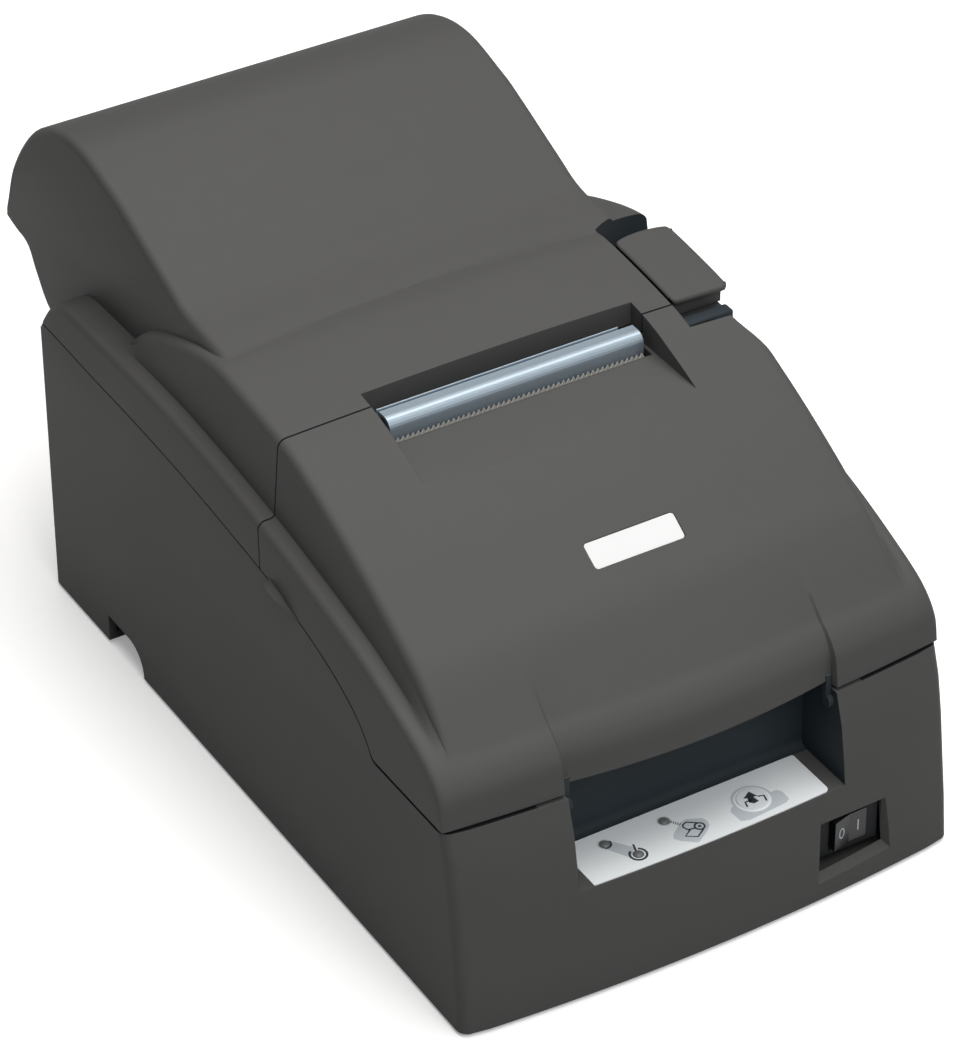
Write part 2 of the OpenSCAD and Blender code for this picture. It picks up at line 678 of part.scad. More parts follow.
module ribbon_cassette() color("#1e2124") {
    difference() {
        union() {
            block([-60, -89, 82], [60, -64.5, 97]);
            for (s = [-1, 1])
                block([s > 0 ? 46 : -58, -65, 82], [s > 0 ? 58 : -46, -37.4, 97]);
            for (s = [-1, 1])
                block([s > 0 ? 59 : -66, -82, 90.1], [s > 0 ? 66 : -59, -74, 92]);
        }
        // ribbon store and the slots of the two arms
        block([-57, -86.5, 84], [57, -67, 95]);
        for (s = [-1, 1])
            block([s > 0 ? 45 : -52, -40, 83.5], [s > 0 ? 52 : -45, -36, 95.5]);
        translate([-44, -76, 90])
        cylinder(r = 2 + run_clear, h = 12);
    }
}

module ink_ribbon() color("#15171c") {
    block([-52, -38, 84], [52, -37.6, 95]);
    block([-40, -85, 84.4], [40, -69, 94.6]);
}

module ribbon_knob() color("#2f6fb0") {
    translate([-44, -76, 0])
    union() {
        translate([0, 0, 90])
        cylinder(r = 2, h = 8);
        translate([0, 0, 97.3])
        cylinder(r = 6.5, h = 1.4);
        translate([-5, -1, 98.6])
        cube([10, 2, 2]);
    }
}

module latch_stud() color("#b9bdc0") {
    rod(latch_at, 4, frame_x - 0.5, hood_half - 2.3);
}

// ---------------------------------------------------------------- paper bay

module paper_tray() color("#303336") {
    difference() {
        union() {
            along_x(-bay_x - tray_t, bay_x + tray_t)
            union() {
                translate(bay_at) circle(r = bay_r + tray_t);
                translate([bay_at[0] - bay_r - tray_t, bay_at[1]]) square([2 * (bay_r + tray_t), 32]);
                translate([spool_at[0] - 8, 80]) square([16, spool_at[1] - 72]);
            }
            block([-half_w + 5, 15 + back, 84], [half_w - 5, rear_y - 9.8, 85.6]);
        }
        along_x(-bay_x, bay_x)
        union() {
            translate(bay_at) circle(r = bay_r);
            translate([bay_at[0] - bay_r, bay_at[1]]) square([2 * bay_r, 80]);
        }
        // the wall between the spool posts is open above the bay
        block([-bay_x, bay_at[0] + 8, 88], [bay_x, rear_y + 5, 130]);
        // spool notches
        rod(spool_at, spool_shaft_dia + 2 * run_clear, -60, 60);
        block([-60, spool_at[0] - spool_shaft_dia / 2 + 0.6, spool_at[1]], [60, spool_at[0] + spool_shaft_dia / 2 - 0.6, 130]);
        // take-up motor, near-end lever and hinge clearances
        block([bay_x + tray_t + 0.2, spool_at[0] - 12, 80], [half_w - 9, spool_at[0] + 11, 90]);
        block([-bay_x - 4, bay_at[0] - 22, 36], [-bay_x + 4, bay_at[0] - 2, 44]);
        for (s = [-1, 1])
            block([s > 0 ? half_w - 11 : -half_w, rear_y - 11, 80], [s > 0 ? half_w : -half_w + 11, rear_y - 5, 90]);
    }
    // lugs that carry the near-end lever
    for (z = [33.4, 44.6])
        difference() {
            block([-bay_x - tray_t - 6, bay_at[0] - 4.5, z], [-bay_x - tray_t + e, bay_at[0] + 1.5, z + 2]);
            translate([-bay_x - tray_t - 3, bay_at[0] - 1.5, z - 1])
            cylinder(r = 1 + run_clear, h = 4);
        }
}

module near_end_lever() color("#d8d3c2") {
    translate([-bay_x - tray_t - 3, bay_at[0] - 1.5, 0])
    union() {
        translate([0, 0, 33])
        cylinder(r = 1, h = 14);
        translate([0, 0, 36])
        cylinder(r = 2.2, h = 8);
        translate([-1, -18, 37])
        cube([2, 18, 6]);
        translate([0, -18, 37])
        cube([6.4, 4, 6]);
    }
}

module takeup_spool() color("#3b3f43") {
    rod(spool_at, spool_shaft_dia, -bay_x - tray_t - 3, bay_x + tray_t + 5);
    rod(spool_at, 16, -bay_x + 1, bay_x - 1);
    for (s = [-1, 1])
        difference() {
            rod(spool_at, spool_dia, s > 0 ? bay_x - 2.5 : -bay_x + 1, s > 0 ? bay_x - 1 : -bay_x + 2.5);
            for (a = [0:120:240])
                rod(spool_at + 17 * [cos(a), sin(a)], 9, -60, 60);
        }
    along_x(bay_x + tray_t + 1.2, bay_x + tray_t + 4.2)
    translate(spool_at)
    gear_shape(spool_teeth, -90);
}

takeup_x = bay_x + tray_t + 1.2;
module takeup_pinion() color("#c9a95b") {
    along_x(takeup_x, takeup_x + 3)
    translate(takeup_at)
    gear_shape(takeup_teeth, 90 + 180 / takeup_teeth);
    rod(takeup_at, 2, takeup_x - 0.3, takeup_x + 10);
}

module takeup_motor() color("#6f7478") {
    difference() {
        union() {
            rod(takeup_at, 19, takeup_x + 5, takeup_x + 21);
            // mounting ears down to the deck
            block([takeup_x + 4, spool_at[0] - 16, 85.6], [takeup_x + 5.2, spool_at[0] + 11, 101]);
            block([takeup_x + 4, spool_at[0] - 16, 85.6], [takeup_x + 14, spool_at[0] - 12.4, 87]);
        }
        rod(takeup_at, 2 + 2 * run_clear, takeup_x, takeup_x + 12);
    }
}

// ---------------------------------------------------------------- electronics

module main_board() color("#2f5d3a") {
    block([-46, 9 + back, 5], [46, rear_y - 6, 6.6]);
    // tall parts stand clear of the tray's round belly
    block([-42, 12 + back, 6.5], [-24, 26 + back, 16]);
    block([18, 11 + back, 6.5], [34, 21 + back, 14]);
    block([-10, 74 + back, 6.5], [2, 84 + back, 10]);
}

module connector_plate() color("#b4b8bb") {
    difference() {
        block([-45.5, rear_y - 1.6, 8.3], [45.5, rear_y - 0.4, 32.7]);
        block([-39.5, rear_y - 4, 11.5], [6.5, rear_y + 1, 24.5]);
        rod_y([19, 18], 15, rear_y - 4, rear_y + 1);
        block([29.5, rear_y - 4, 11.5], [42.5, rear_y + 1, 24.5]);
    }
    rod_y([-17, 29], 4, rear_y - 0.5, rear_y + 1);
}

// A round bar along Y at an [x, z] place
module rod_y(at, dia, y0, y1) {
    translate([at[0], y1, at[1]])
    rotate([90, 0, 0])
    cylinder(d = dia, h = y1 - y0);
}

module data_connector() color("#c7cbce") {
    difference() {
        union() {
            block([-39, rear_y - 14, 6.6], [6, rear_y - 3, 24]);
            block([-39, rear_y - 4, 12], [6, rear_y + 0.6, 24]);
        }
        block([-33, rear_y - 4, 14], [0, rear_y + 1, 21.5]);
        for (x = [-36, 3])
            rod_y([x, 17.8], 3, rear_y - 5, rear_y + 1);
    }
}

module power_inlet() color("#1d1f20") {
    difference() {
        union() {
            rod_y([19, 18], 14, rear_y - 12, rear_y + 0.6);
            block([13, rear_y - 12, 6.6], [25, rear_y - 3, 18]);
        }
        rod_y([19, 18], 10, rear_y - 8, rear_y + 1);
    }
}

module drawer_socket() color("#1d1f20") {
    difference() {
        union() {
            block([30, rear_y - 14, 6.6], [42, rear_y - 3, 24]);
            block([30, rear_y - 4, 12], [42, rear_y + 0.4, 24]);
        }
        block([32, rear_y - 11, 12.5], [40, rear_y + 1, 19.5]);
    }
}

// ---------------------------------------------------------------- front cover

module front_hinge_pins() color("#b9bdc0") {
    for (s = [-1, 1])
        rod([front_hinge_y, front_hinge_z], front_pin_dia, s > 0 ? recess_half - 3.4 : -recess_half - 5.5, s > 0 ? recess_half + 5.5 : -recess_half + 3.4);
}

module front_cover() color("#565859") {
    difference() {
        cover_solid(front_stations, front_mid_cuts);
        difference() {
            cover_void([-124.6, -122, -118, -110, -100, -88, -75, -62, -48, split_y + 2]);
            // walls and floor of the scoop before the paper exit, finger pocket
            block([-slot_half - wall, split_y - 30, scoop_z - 2.2], [slot_half + wall, 10, 150]);
            block([slot_half + 1, split_y - 12.5, 116], [hood_half - wall + 1, 10, 150]);
        }
        below_seam(cover_gap);
        block([-recess_half, front_y - 7, 50], [recess_half, front_y + recess_d - 4, 66]);
        // scoop and paper exit
        block([-slot_half, split_y - 40, scoop_z], [slot_half, 0, 150]);
        block([-slot_half + 1, split_y - 7.6, 90], [slot_half - 1, 0, 150]);
        // finger pocket
        block([lever_x0 - 0.2, split_y - 9.8, 118.5], [half_w + 10, 0, 150]);
        badge_shape(badge_w + 0.3, badge_h + 0.3, 6);
    }
    // hinge lugs inside the recess, on necks from the lip
    for (s = [-1, 1])
        difference() {
            union() {
                rod([front_hinge_y, front_hinge_z], 5, s > 0 ? recess_half - 3.2 : -recess_half + 0.2, s > 0 ? recess_half - 0.2 : -recess_half + 3.2);
                block([s > 0 ? recess_half - 3.2 : -recess_half + 0.2, front_hinge_y - 0.5, front_hinge_z], [s > 0 ? recess_half - 0.2 : -recess_half + 3.2, front_hinge_y + 2.5, 68]);
            }
            rod([front_hinge_y, front_hinge_z], front_pin_dia + 2 * run_clear, -60, 60);
        }
    // ledge across the finger pocket
    block([lever_x0 - 0.5, split_y - 5.6, 117], [hood_half - 2.8, split_y - 1.2, 125.3]);
    // finger tabs on the sides
    for (s = [-1, 1])
        along_x(s > 0 ? cover_half - 2 : -cover_half - 0.6, s > 0 ? cover_half + 0.6 : -cover_half + 2)
        polygon([[-49, 86.2], [-37, 88.6], [-37.5, 91], [-48.5, 89]]);
}

blade_pitch = 1.6;
blade_teeth = 50;
// Upright saw strip against the rear edge of the scoop
module tear_blade() color("#b7b8b4") {
    w = blade_teeth * blade_pitch / 2;
    translate([0, split_y - 7.1, 0])
    rotate([90, 0, 0])
    linear_extrude(0.5)
    polygon(concat([[-w, scoop_z - 2.2], [w, scoop_z - 2.2]], [for (i = [0:blade_teeth - 1]) for (k = [0, 1]) [w - (i + k / 2) * blade_pitch, scoop_z + (k == 0 ? 0.1 : 1.4)]], [[-w, scoop_z + 0.1]]));
}

// Blank plate let into the front of the hood
badge_at = [2, -92.5, 104.6];
badge_w = 28.5;
badge_h = 8;
module badge_shape(w, h, t) {
    translate(badge_at)
    rotate([32, 0, 0])
    linear_extrude(t)
    union() {
        square([w - 2, h], center = true);
        square([w, h - 2], center = true);
        for (x = [-1, 1], y = [-1, 1])
            translate([x * (w / 2 - 1), y * (h / 2 - 1)])
            circle(r = 1);
    }
}

module badge_plate() color("#d9dcde") {
    badge_shape(badge_w, badge_h, 1.6);
}

// ---------------------------------------------------------------- rear cover

module rear_hinge_pins() color("#b9bdc0") {
    for (s = [-1, 1])
        rod([rear_hinge_y, rear_hinge_z], rear_pin_dia, s > 0 ? half_w - 9.6 : -half_w + 3.5, s > 0 ? half_w - 3.5 : -half_w + 9.6);
}

lever_x0 = hood_half - 18.6;
module rear_cover() color("#565859") {
    difference() {
        union() {
            cover_solid(rear_stations, rear_mid_cuts);
            hump_solid();
        }
        difference() {
            union() {
                cover_void(concat([split_y - 2, -20, -6], [for (y = [8, 20, 32, 42, 50, 56, 80, 88, 93, 97.5, 99]) y + back]));
                hump_void();
            }
            // linings of the lever pocket and of the notch behind the paper exit
            block([lever_x0 - wall, split_y - 5, lever_pivot_z - 7.5], [hood_half - wall + 1, 13.7, 150]);
            block([-slot_half - wall, split_y - 5, 124], [slot_half + wall, -24, 150]);
        }
        difference() {
            below_seam(cover_gap);
            block([-hump_left, rear_y - 3, 0], [hump_right, rear_y + 45, 120]);
        }
        for (s = [-1, 1])
            block([s > 0 ? half_w - 10 : -half_w - 10, rear_y - 3.7, 90], [s > 0 ? half_w + 10 : -half_w + 10, rear_y + 5, 96]);
        // notch of the paper exit
        block([-slot_half, -60, 90], [slot_half, -26.4, 150]);
        // pocket of the opening lever, with the slot of its hook
        block([lever_x0 - 0.3, -60, lever_pivot_z - 5], [90, 7.8, 150]);
        translate([0, 0, lever_pivot_z - 5])
        linear_extrude(40)
        arched_end(lever_x0 - 0.3, 90, 0, 7.8, 3.4);
        block([hood_half - 8.4, split_y - 1, 80], [hood_half - 3, -8, 130]);
        rod([lever_pivot_y, lever_pivot_z], 3, lever_x0 - 6, hood_half + 6);
    }
    // rail beside the pocket that holds the far end of the lever's pin
    difference() {
        block([hood_half - 3.1, lever_pivot_y - 4, lever_pivot_z - 6], [hood_half - 1.1, lever_pivot_y + 4, lever_pivot_z + 2.5]);
        rod([lever_pivot_y, lever_pivot_z], 3, 50, half_w);
    }
    // ears of the rear hinge
    for (s = [-1, 1])
        difference() {
            union() {
                rod([rear_hinge_y, rear_hinge_z], 6, s > 0 ? half_w - 9.4 : -half_w + 6.9, s > 0 ? half_w - 6.9 : -half_w + 9.4);
                along_x(s > 0 ? half_w - 9.4 : -half_w + 6.9, s > 0 ? half_w - 6.9 : -half_w + 9.4)
                polygon([[rear_hinge_y - 1.5, rear_hinge_z - 2.6], [rear_hinge_y + 1.5, rear_hinge_z + 2.6], [92 + back, 107.5], [84 + back, 108.5]]);
            }
            rod([rear_hinge_y, rear_hinge_z], rear_pin_dia + 2 * run_clear, -90, 90);
        }
    // hangers of the cutter unit
    for (x = [-44, 44])
        block([x - 3, -20, 120], [x + 3, -10, 129]);
}

cutter_z = 112;
module cutter_unit() color("#8d9296") {
    difference() {
        block([-lever_x0 + 3.7, -28, 104], [lever_x0 - 3.7, 4, 120]);
        block([-41, -30, cutter_z - 0.3], [41, 2, cutter_z + 1.3]);
        block([-lever_x0 + 7.7, -24, 115], [lever_x0 - 7.7, 0, 118.5]);
    }
}

module cutter_blade() color("#c9ced2") {
    translate([0, 0, cutter_z])
    linear_extrude(0.8)
    polygon([[-40, -1], [40, -1], [40, -29], [0, -22], [-40, -29]]);
}

bar_half = 40.8;
module guide_bar() color("#bfd0da") {
    difference() {
        along_x(-bar_half, bar_half)
        difference() {
            polygon(concat([[-28, 105], [-37.4, 105]], [for (a = [180:-15:90]) [-34.4 + 3 * cos(a), 124.4 + 3 * sin(a)]], [[-31.4, 127.4], [-31.4, 106.2], [-28, 106.2]]));
            polygon([[-36.4, 106.2], [-36.4, 124], [-34.4, 126.2], [-32.6, 126.2], [-32.6, 106.2]]);
        }
        block([-bar_half + 0.4, -40, cutter_z - 0.8], [bar_half - 0.4, -30, cutter_z + 1.8]);
    }
}

// ---------------------------------------------------------------- opening lever

module lever_pin() color("#b9bdc0") {
    rod([lever_pivot_y, lever_pivot_z], 3, lever_x0 - 3, hood_half - 1.1);
}

// A plan from y0 back to y1, with a rear edge that bulges by the given rise about the lever's middle
module arched_end(x0, x1, y0, y1, rise) {
    mid = (lever_x0 + hood_half) / 2 + 2;
    run = mid - lever_x0 + 0.3;
    polygon(concat([[x0, y0]], [for (i = [0:12]) let (x = x0 + (min(x1, 2 * mid - x0) - x0) * i / 12) [x, y1 + rise * (1 - pow((x - mid) / run, 2))]], [[x1, y1], [x1, y0]]));
}

module open_lever() color("#565859") {
    x0 = lever_x0 + 0.9;
    x1 = hood_half + 1.1;
    front = split_y + 0.8;
    nose = [[front - 0.1, 128.6], [front + 0.3, 129.3], [front + 1, 129.9]];
    top = [for (y = [front + 2:3:3.2]) [y, hood_z(y) + crown(x0 + 9, y)]];
    difference() {
        union() {
            intersection() {
                along_x(x0, x1)
                polygon(concat(nose, top, [[3.4, 132.5], [3.4, lever_pivot_z + 8.5], [front + 2.4, lever_pivot_z + 5.7], [front + 2.4, 127.4], [front - 0.1, 127.4]]));
                linear_extrude(200)
                arched_end(x0, x1, front - 1, -0.6, 2.4);
            }
            // skirt on its open side
            along_x(hood_half - 0.1, hood_half + 0.7)
            polygon([[split_y + 7.5, lever_pivot_z + 8], [split_y + 9, lever_pivot_z - 2], [-3, lever_pivot_z - 2], [-0.8, lever_pivot_z + 6], [-0.8, lever_pivot_z + 12], [split_y + 8, lever_pivot_z + 11]]);
            // lug round the pin and the hook with its claw
            rod([lever_pivot_y, lever_pivot_z], 8, lever_x0 + 1.3, hood_half - 3.3);
            block([lever_x0 + 1.3, lever_pivot_y - 4, lever_pivot_z], [hood_half - 3.3, lever_pivot_y + 4, lever_pivot_z + 9]);
            along_x(hood_half - 7.8, hood_half - 3.6)
            polygon([[lever_pivot_y + 3, lever_pivot_z + 8.5], [lever_pivot_y - 3.5, lever_pivot_z - 2], [-16.2, 104], [-16.2, 81.6], [-11, 81.6], [-11.5, 78.5], [-19.5, 76.5], [-20.2, 79], [-20.2, 106], [-17, lever_pivot_z + 7]]);
        }
        rod([lever_pivot_y, lever_pivot_z], 3 + 2 * run_clear, 40, 90);
    }
}

// ---------------------------------------------------------------- selection

lower_case();
rubber_feet();
panel_label();
panel_board();
status_leds();
feed_switch();
feed_button();
switch_housing();
power_rocker();
chassis_plate();
chassis_screws();
left_frame();
right_frame();
guide_shaft();
guide_rail();
platen();
paper_guide();
feed_roller();
feed_gear();
pressure_roller();
idler_gear();
idler_stud();
motor_pinion();
feed_motor();
carriage_motor();
motor_bracket();
drive_pulley();
tension_pulley();
tension_stud();
timing_belt();
head_carriage();
print_head();
ribbon_cassette();
ink_ribbon();
ribbon_knob();
latch_stud();
paper_tray();
near_end_lever();
takeup_spool();
takeup_pinion();
takeup_motor();
main_board();
connector_plate();
data_connector();
power_inlet();
drawer_socket();
front_hinge_pins();
rear_hinge_pins();
front_cover();
tear_blade();
badge_plate();
rear_cover();
guide_bar();
cutter_unit();
cutter_blade();
open_lever();
lever_pin();
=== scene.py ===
# %% [markdown]
# # A dot matrix receipt printer
# The solids of this printer were drawn in a CAD program and arrive as one packed
# frame. This lesson dresses them: it rebuilds the three moulded shells as smooth
# surfaces, gives every part a finish, and adds the small things that a moulder, a
# toolmaker and a board assembler would add. Lengths are written in millimetres and
# turned into metres where a mesh is made. Only the camera, the lamps, the floor and
# the sizes inside a finish are in metres from the start.

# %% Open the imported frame
import json
import math
from bisect import bisect_right

import bmesh
import bpy
from mathutils import Matrix, Vector


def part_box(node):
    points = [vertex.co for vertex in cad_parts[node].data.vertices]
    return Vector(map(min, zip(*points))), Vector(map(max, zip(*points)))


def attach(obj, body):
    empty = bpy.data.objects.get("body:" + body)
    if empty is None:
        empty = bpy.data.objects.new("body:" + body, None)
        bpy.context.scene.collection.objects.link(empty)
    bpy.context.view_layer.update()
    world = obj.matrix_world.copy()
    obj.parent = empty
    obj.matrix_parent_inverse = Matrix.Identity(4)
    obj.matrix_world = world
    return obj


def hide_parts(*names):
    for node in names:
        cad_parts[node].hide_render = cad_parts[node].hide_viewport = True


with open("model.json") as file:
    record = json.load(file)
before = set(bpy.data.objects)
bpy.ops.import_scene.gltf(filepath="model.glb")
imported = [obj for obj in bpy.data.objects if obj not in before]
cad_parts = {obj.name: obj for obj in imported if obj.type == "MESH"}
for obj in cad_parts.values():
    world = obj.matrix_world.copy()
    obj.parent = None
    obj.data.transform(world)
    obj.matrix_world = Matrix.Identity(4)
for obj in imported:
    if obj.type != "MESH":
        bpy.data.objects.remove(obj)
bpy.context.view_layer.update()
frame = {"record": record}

# %% [markdown]
# ## The camera
# A camera is a place and three directions. They were worked out from the corners of
# the case, so they are written down as numbers: where the lens is, which way is right,
# which way is up, and the direction back from the object to the lens. A long lens
# from more than a metre away keeps the edges nearly parallel, as a product shot does.

# %% Place the camera
def add_object(name, data):
    """A new object in the scene, at the origin."""
    thing = bpy.data.objects.new(name, data)
    bpy.context.scene.collection.objects.link(thing)
    return thing

lens_place = Vector((-0.514720, -0.882403, 0.789196))
to_right = Vector((0.8564298, -0.5161853, -0.0089910))
to_top = Vector((0.3075912, 0.4961988, 0.8118956))
to_lens = Vector((-0.4146272, -0.6980971, 0.5837334))
camera_data = bpy.data.cameras.new("shop_camera")
camera_data.sensor_fit = "AUTO"
camera_data.sensor_width = 36
camera_data.lens = 148.928
camera_data.clip_end = 50
camera = add_object("shop_camera", camera_data)
turn = Matrix((to_right, to_top, to_lens)).transposed()
camera.matrix_world = Matrix.Translation(lens_place) @ turn.to_4x4()
bpy.context.scene.camera = camera
print("camera lens", round(camera_data.lens, 1), "mm, from", round(lens_place.length, 2), "m away")

# %% [markdown]
# ## The floor
# A pale table under soft light shows moulded plastic best. The camera and mirror-like
# reflections see the floor as white. To other bounced light it is a middling grey, so
# that the walls of the printer stay darker than its lid. A faint glow, which only the
# camera sees, keeps the floor white where the lamps fall off.

# %% Lay the floor
def mix_colours(tree, dark, bright, factor):
    """A node that goes from one colour to the other as its factor rises from 0 to 1."""
    node = tree.nodes.new("ShaderNodeMix")
    node.data_type = "RGBA"
    node.inputs["A"].default_value = (*dark, 1)
    node.inputs["B"].default_value = (*bright, 1)
    tree.links.new(factor, node.inputs["Factor"])
    return node.outputs["Result"]

floor_half, bounce_grey, camera_glow = 6, 0.22, 0.26
floor_mesh = bpy.data.meshes.new("table_top")
floor_corners = [(x * floor_half, y * floor_half, 0)
                 for x, y in ((-1, -1), (1, -1), (1, 1), (-1, 1))]
floor_mesh.from_pydata(floor_corners, [], [(0, 1, 2, 3)])
floor = add_object("table_top", floor_mesh)
floor_finish = bpy.data.materials.new("table_white")
floor_finish.use_nodes = True
floor_tree = floor_finish.node_tree
floor_shader = floor_tree.nodes["Principled BSDF"]
seen = floor_tree.nodes.new("ShaderNodeLightPath")
either = floor_tree.nodes.new("ShaderNodeMath")
either.operation = "MAXIMUM"
floor_tree.links.new(seen.outputs["Is Camera Ray"], either.inputs[0])
floor_tree.links.new(seen.outputs["Is Glossy Ray"], either.inputs[1])
tone = mix_colours(floor_tree, (bounce_grey,) * 3, (1, 1, 1), either.outputs[0])
floor_tree.links.new(tone, floor_shader.inputs["Base Color"])
glow = mix_colours(floor_tree, (0, 0, 0), (camera_glow,) * 3, seen.outputs["Is Camera Ray"])
floor_tree.links.new(glow, floor_shader.inputs["Emission Color"])
floor_shader.inputs["Emission Strength"].default_value = 1.0
floor_shader.inputs["Roughness"].default_value = 0.9
floor_mesh.materials.append(floor_finish)
print("floor:", 2 * floor_half, "m across")

# %% [markdown]
# ## The light
# A large lamp overhead is the main light. A weaker one fills the front, a small one
# reaches under the nose to the panel, and a faint one keeps the left wall from going
# black. The sky is dim to everything but the camera, which sees it white.

# %% Hang the lamps
def soft_lamp(name, place, aim, size, power, colour=(1, 1, 1)):
    """A rectangular lamp of so many watts that looks from one place at another."""
    data = bpy.data.lights.new(name, "AREA")
    data.shape = "RECTANGLE"
    data.size, data.size_y = size
    data.energy = power
    data.color = colour
    away = (Vector(place) - Vector(aim)).normalized()
    turn = away.to_track_quat("Z", "Y").to_matrix().to_4x4()
    add_object(name, data).matrix_world = Matrix.Translation(Vector(place)) @ turn

soft_lamp("overhead", (0.25, 0.15, 1.9), (0, 0, 0.05), (1.7, 1.7), 33, (1.0, 0.985, 0.965))
soft_lamp("front_fill", (0.9, -1.7, 0.9), (0, -0.05, 0.05), (1.2, 1.0), 3.2, (0.95, 0.985, 1.0))
soft_lamp("panel_fill", (-0.1, -0.70, 0.76), (0, -0.13, 0.035), (0.5, 0.3), 2.9)
soft_lamp("left_fill", (-1.8, 0.1, 0.8), (0, 0, 0.06), (1.0, 1.0), 0.5, (0.88, 0.97, 1.0))

# %% Set the sky
sky_dim, sky_seen = 0.17, 1.0
world = bpy.data.worlds.new("studio")
bpy.context.scene.world = world
world.use_nodes = True
sky_tree = world.node_tree
sky = sky_tree.nodes["Background"]
sky.inputs["Color"].default_value = (1, 1, 1, 1)
sky_path = sky_tree.nodes.new("ShaderNodeLightPath")
sky_mix = sky_tree.nodes.new("ShaderNodeMix")
sky_mix.data_type = "FLOAT"
sky_mix.inputs["A"].default_value = sky_dim
sky_mix.inputs["B"].default_value = sky_seen
sky_tree.links.new(sky_path.outputs["Is Camera Ray"], sky_mix.inputs["Factor"])
sky_tree.links.new(sky_mix.outputs["Result"], sky.inputs["Strength"])
bpy.context.scene.view_settings.view_transform = "Standard"
print("sky strength:", sky_dim, "and to the camera", sky_seen)

# %% [markdown]
# ## Effects that several finishes share
# Moulded plastic is never one flat colour. The mould is etched with a fine grain, the
# surface picks up faint cloudiness, and metal sheet shows the lines of its rolling.
# Each effect could be drawn into every material, but it is built once as a node group
# with named inputs, and every finish sets its own values. A group gives back only a
# tone, a roughness, a height or a mask.

# %% Write the node helpers
def effect(name, inputs, outputs):
    """An empty node group with its sockets, and its two end nodes."""
    tree = bpy.data.node_groups.new(name, "ShaderNodeTree")
    for label, value in inputs:
        sock = tree.interface.new_socket(label, in_out="INPUT", socket_type="NodeSocketFloat")
        sock.default_value = value
    for label in outputs:
        tree.interface.new_socket(label, in_out="OUTPUT", socket_type="NodeSocketFloat")
    return tree, tree.nodes.new("NodeGroupInput"), tree.nodes.new("NodeGroupOutput")

def math_node(tree, kind, a, b):
    """One sum, of plain numbers or of other nodes' outputs."""
    node = tree.nodes.new("ShaderNodeMath")
    node.operation = kind
    for sock, value in zip(node.inputs, (a, b)):
        if hasattr(value, "is_output"):
            tree.links.new(value, sock)
        else:
            sock.default_value = value
    return node.outputs[0]

def mean(tree, a, b):
    return math_node(tree, "MULTIPLY", math_node(tree, "ADD", a, b), 0.5)

def noise_node(tree, vector, scale, detail, stretch=None):
    node = tree.nodes.new("ShaderNodeTexNoise")
    node.inputs["Detail"].default_value = detail
    if hasattr(scale, "is_output"):
        tree.links.new(scale, node.inputs["Scale"])
    else:
        node.inputs["Scale"].default_value = scale
    if stretch:
        squeeze = tree.nodes.new("ShaderNodeMapping")
        squeeze.inputs["Scale"].default_value = stretch
        tree.links.new(vector, squeeze.inputs["Vector"])
        vector = squeeze.outputs["Vector"]
    tree.links.new(vector, node.inputs["Vector"])
    return node.outputs["Fac"]

def spread(tree, value, amount, middle):
    """Turns noise round a half into middle plus or minus amount."""
    centred = math_node(tree, "SUBTRACT", value, 0.5)
    return math_node(tree, "ADD", math_node(tree, "MULTIPLY", centred, amount), middle)

def object_place(tree):
    return tree.nodes.new("ShaderNodeTexCoord").outputs["Object"]

print("helpers for effects are ready")

# %% Etch the grain
grain_tree, gin, gout = effect(
    "etched_grain",
    [("Scale", 3500), ("Cloud", 0.1), ("Roughness", 0.5), ("Spread", 0.15)],
    ["Tone", "Roughness", "Height"])
where = object_place(grain_tree)
fine = noise_node(grain_tree, where, gin.outputs["Scale"], 2)
cloud = noise_node(grain_tree, where, 22, 3)
grain_tree.links.new(spread(grain_tree, cloud, gin.outputs["Cloud"], 1.0), gout.inputs["Tone"])
both = mean(grain_tree, fine, cloud)
rough = spread(grain_tree, both, gin.outputs["Spread"], gin.outputs["Roughness"])
grain_tree.links.new(rough, gout.inputs["Roughness"])
grain_tree.links.new(fine, gout.inputs["Height"])
print("effect:", grain_tree.name)

# %% Roll the lines
along_x = (1.5, 60, 60)
rolled_tree, rin, rout = effect(
    "rolled_lines",
    [("Roughness", 0.3), ("Spread", 0.2), ("Cloud", 0.1)],
    ["Tone", "Roughness", "Height"])
where = object_place(rolled_tree)
lines = noise_node(rolled_tree, where, 60, 4, along_x)
blot = noise_node(rolled_tree, where, 40, 3)
streaks = spread(rolled_tree, mean(rolled_tree, lines, blot), rin.outputs["Cloud"], 1.0)
rolled_tree.links.new(streaks, rout.inputs["Tone"])
rough = spread(rolled_tree, lines, rin.outputs["Spread"], rin.outputs["Roughness"])
rolled_tree.links.new(rough, rout.inputs["Roughness"])
rolled_tree.links.new(lines, rout.inputs["Height"])
print("effect:", rolled_tree.name)

# %% Let the dust settle
dust_tree, din, dout = effect("settled_dust", [("Amount", 0.1)], ["Mask"])
facing = dust_tree.nodes.new("ShaderNodeNewGeometry")
split = dust_tree.nodes.new("ShaderNodeSeparateXYZ")
dust_tree.links.new(facing.outputs["Normal"], split.inputs[0])
upward = math_node(dust_tree, "MAXIMUM", split.outputs["Z"], 0.0)
patchy = noise_node(dust_tree, object_place(dust_tree), 140, 5)
settled = math_node(dust_tree, "MULTIPLY", upward, patchy)
dust = math_node(dust_tree, "MULTIPLY", settled, din.outputs["Amount"])
dust_tree.links.new(dust, dout.inputs["Mask"])
print("effect:", dust_tree.name)

# %% [markdown]
# ## Finishes
# A finish names its colour, its sheen and the effect that breaks it up. The Principled
# shader and anything that is the same all over stay on the material itself, and the
# groups only feed values that change over the surface. Moulded edges are never knife
# sharp, so a Bevel node rounds the shading of every edge by a fraction of a millimetre
# under the grain, which costs no faces.

# %% Write the finishes
dust_grey, grain_depth = (0.42, 0.40, 0.37), 0.00003

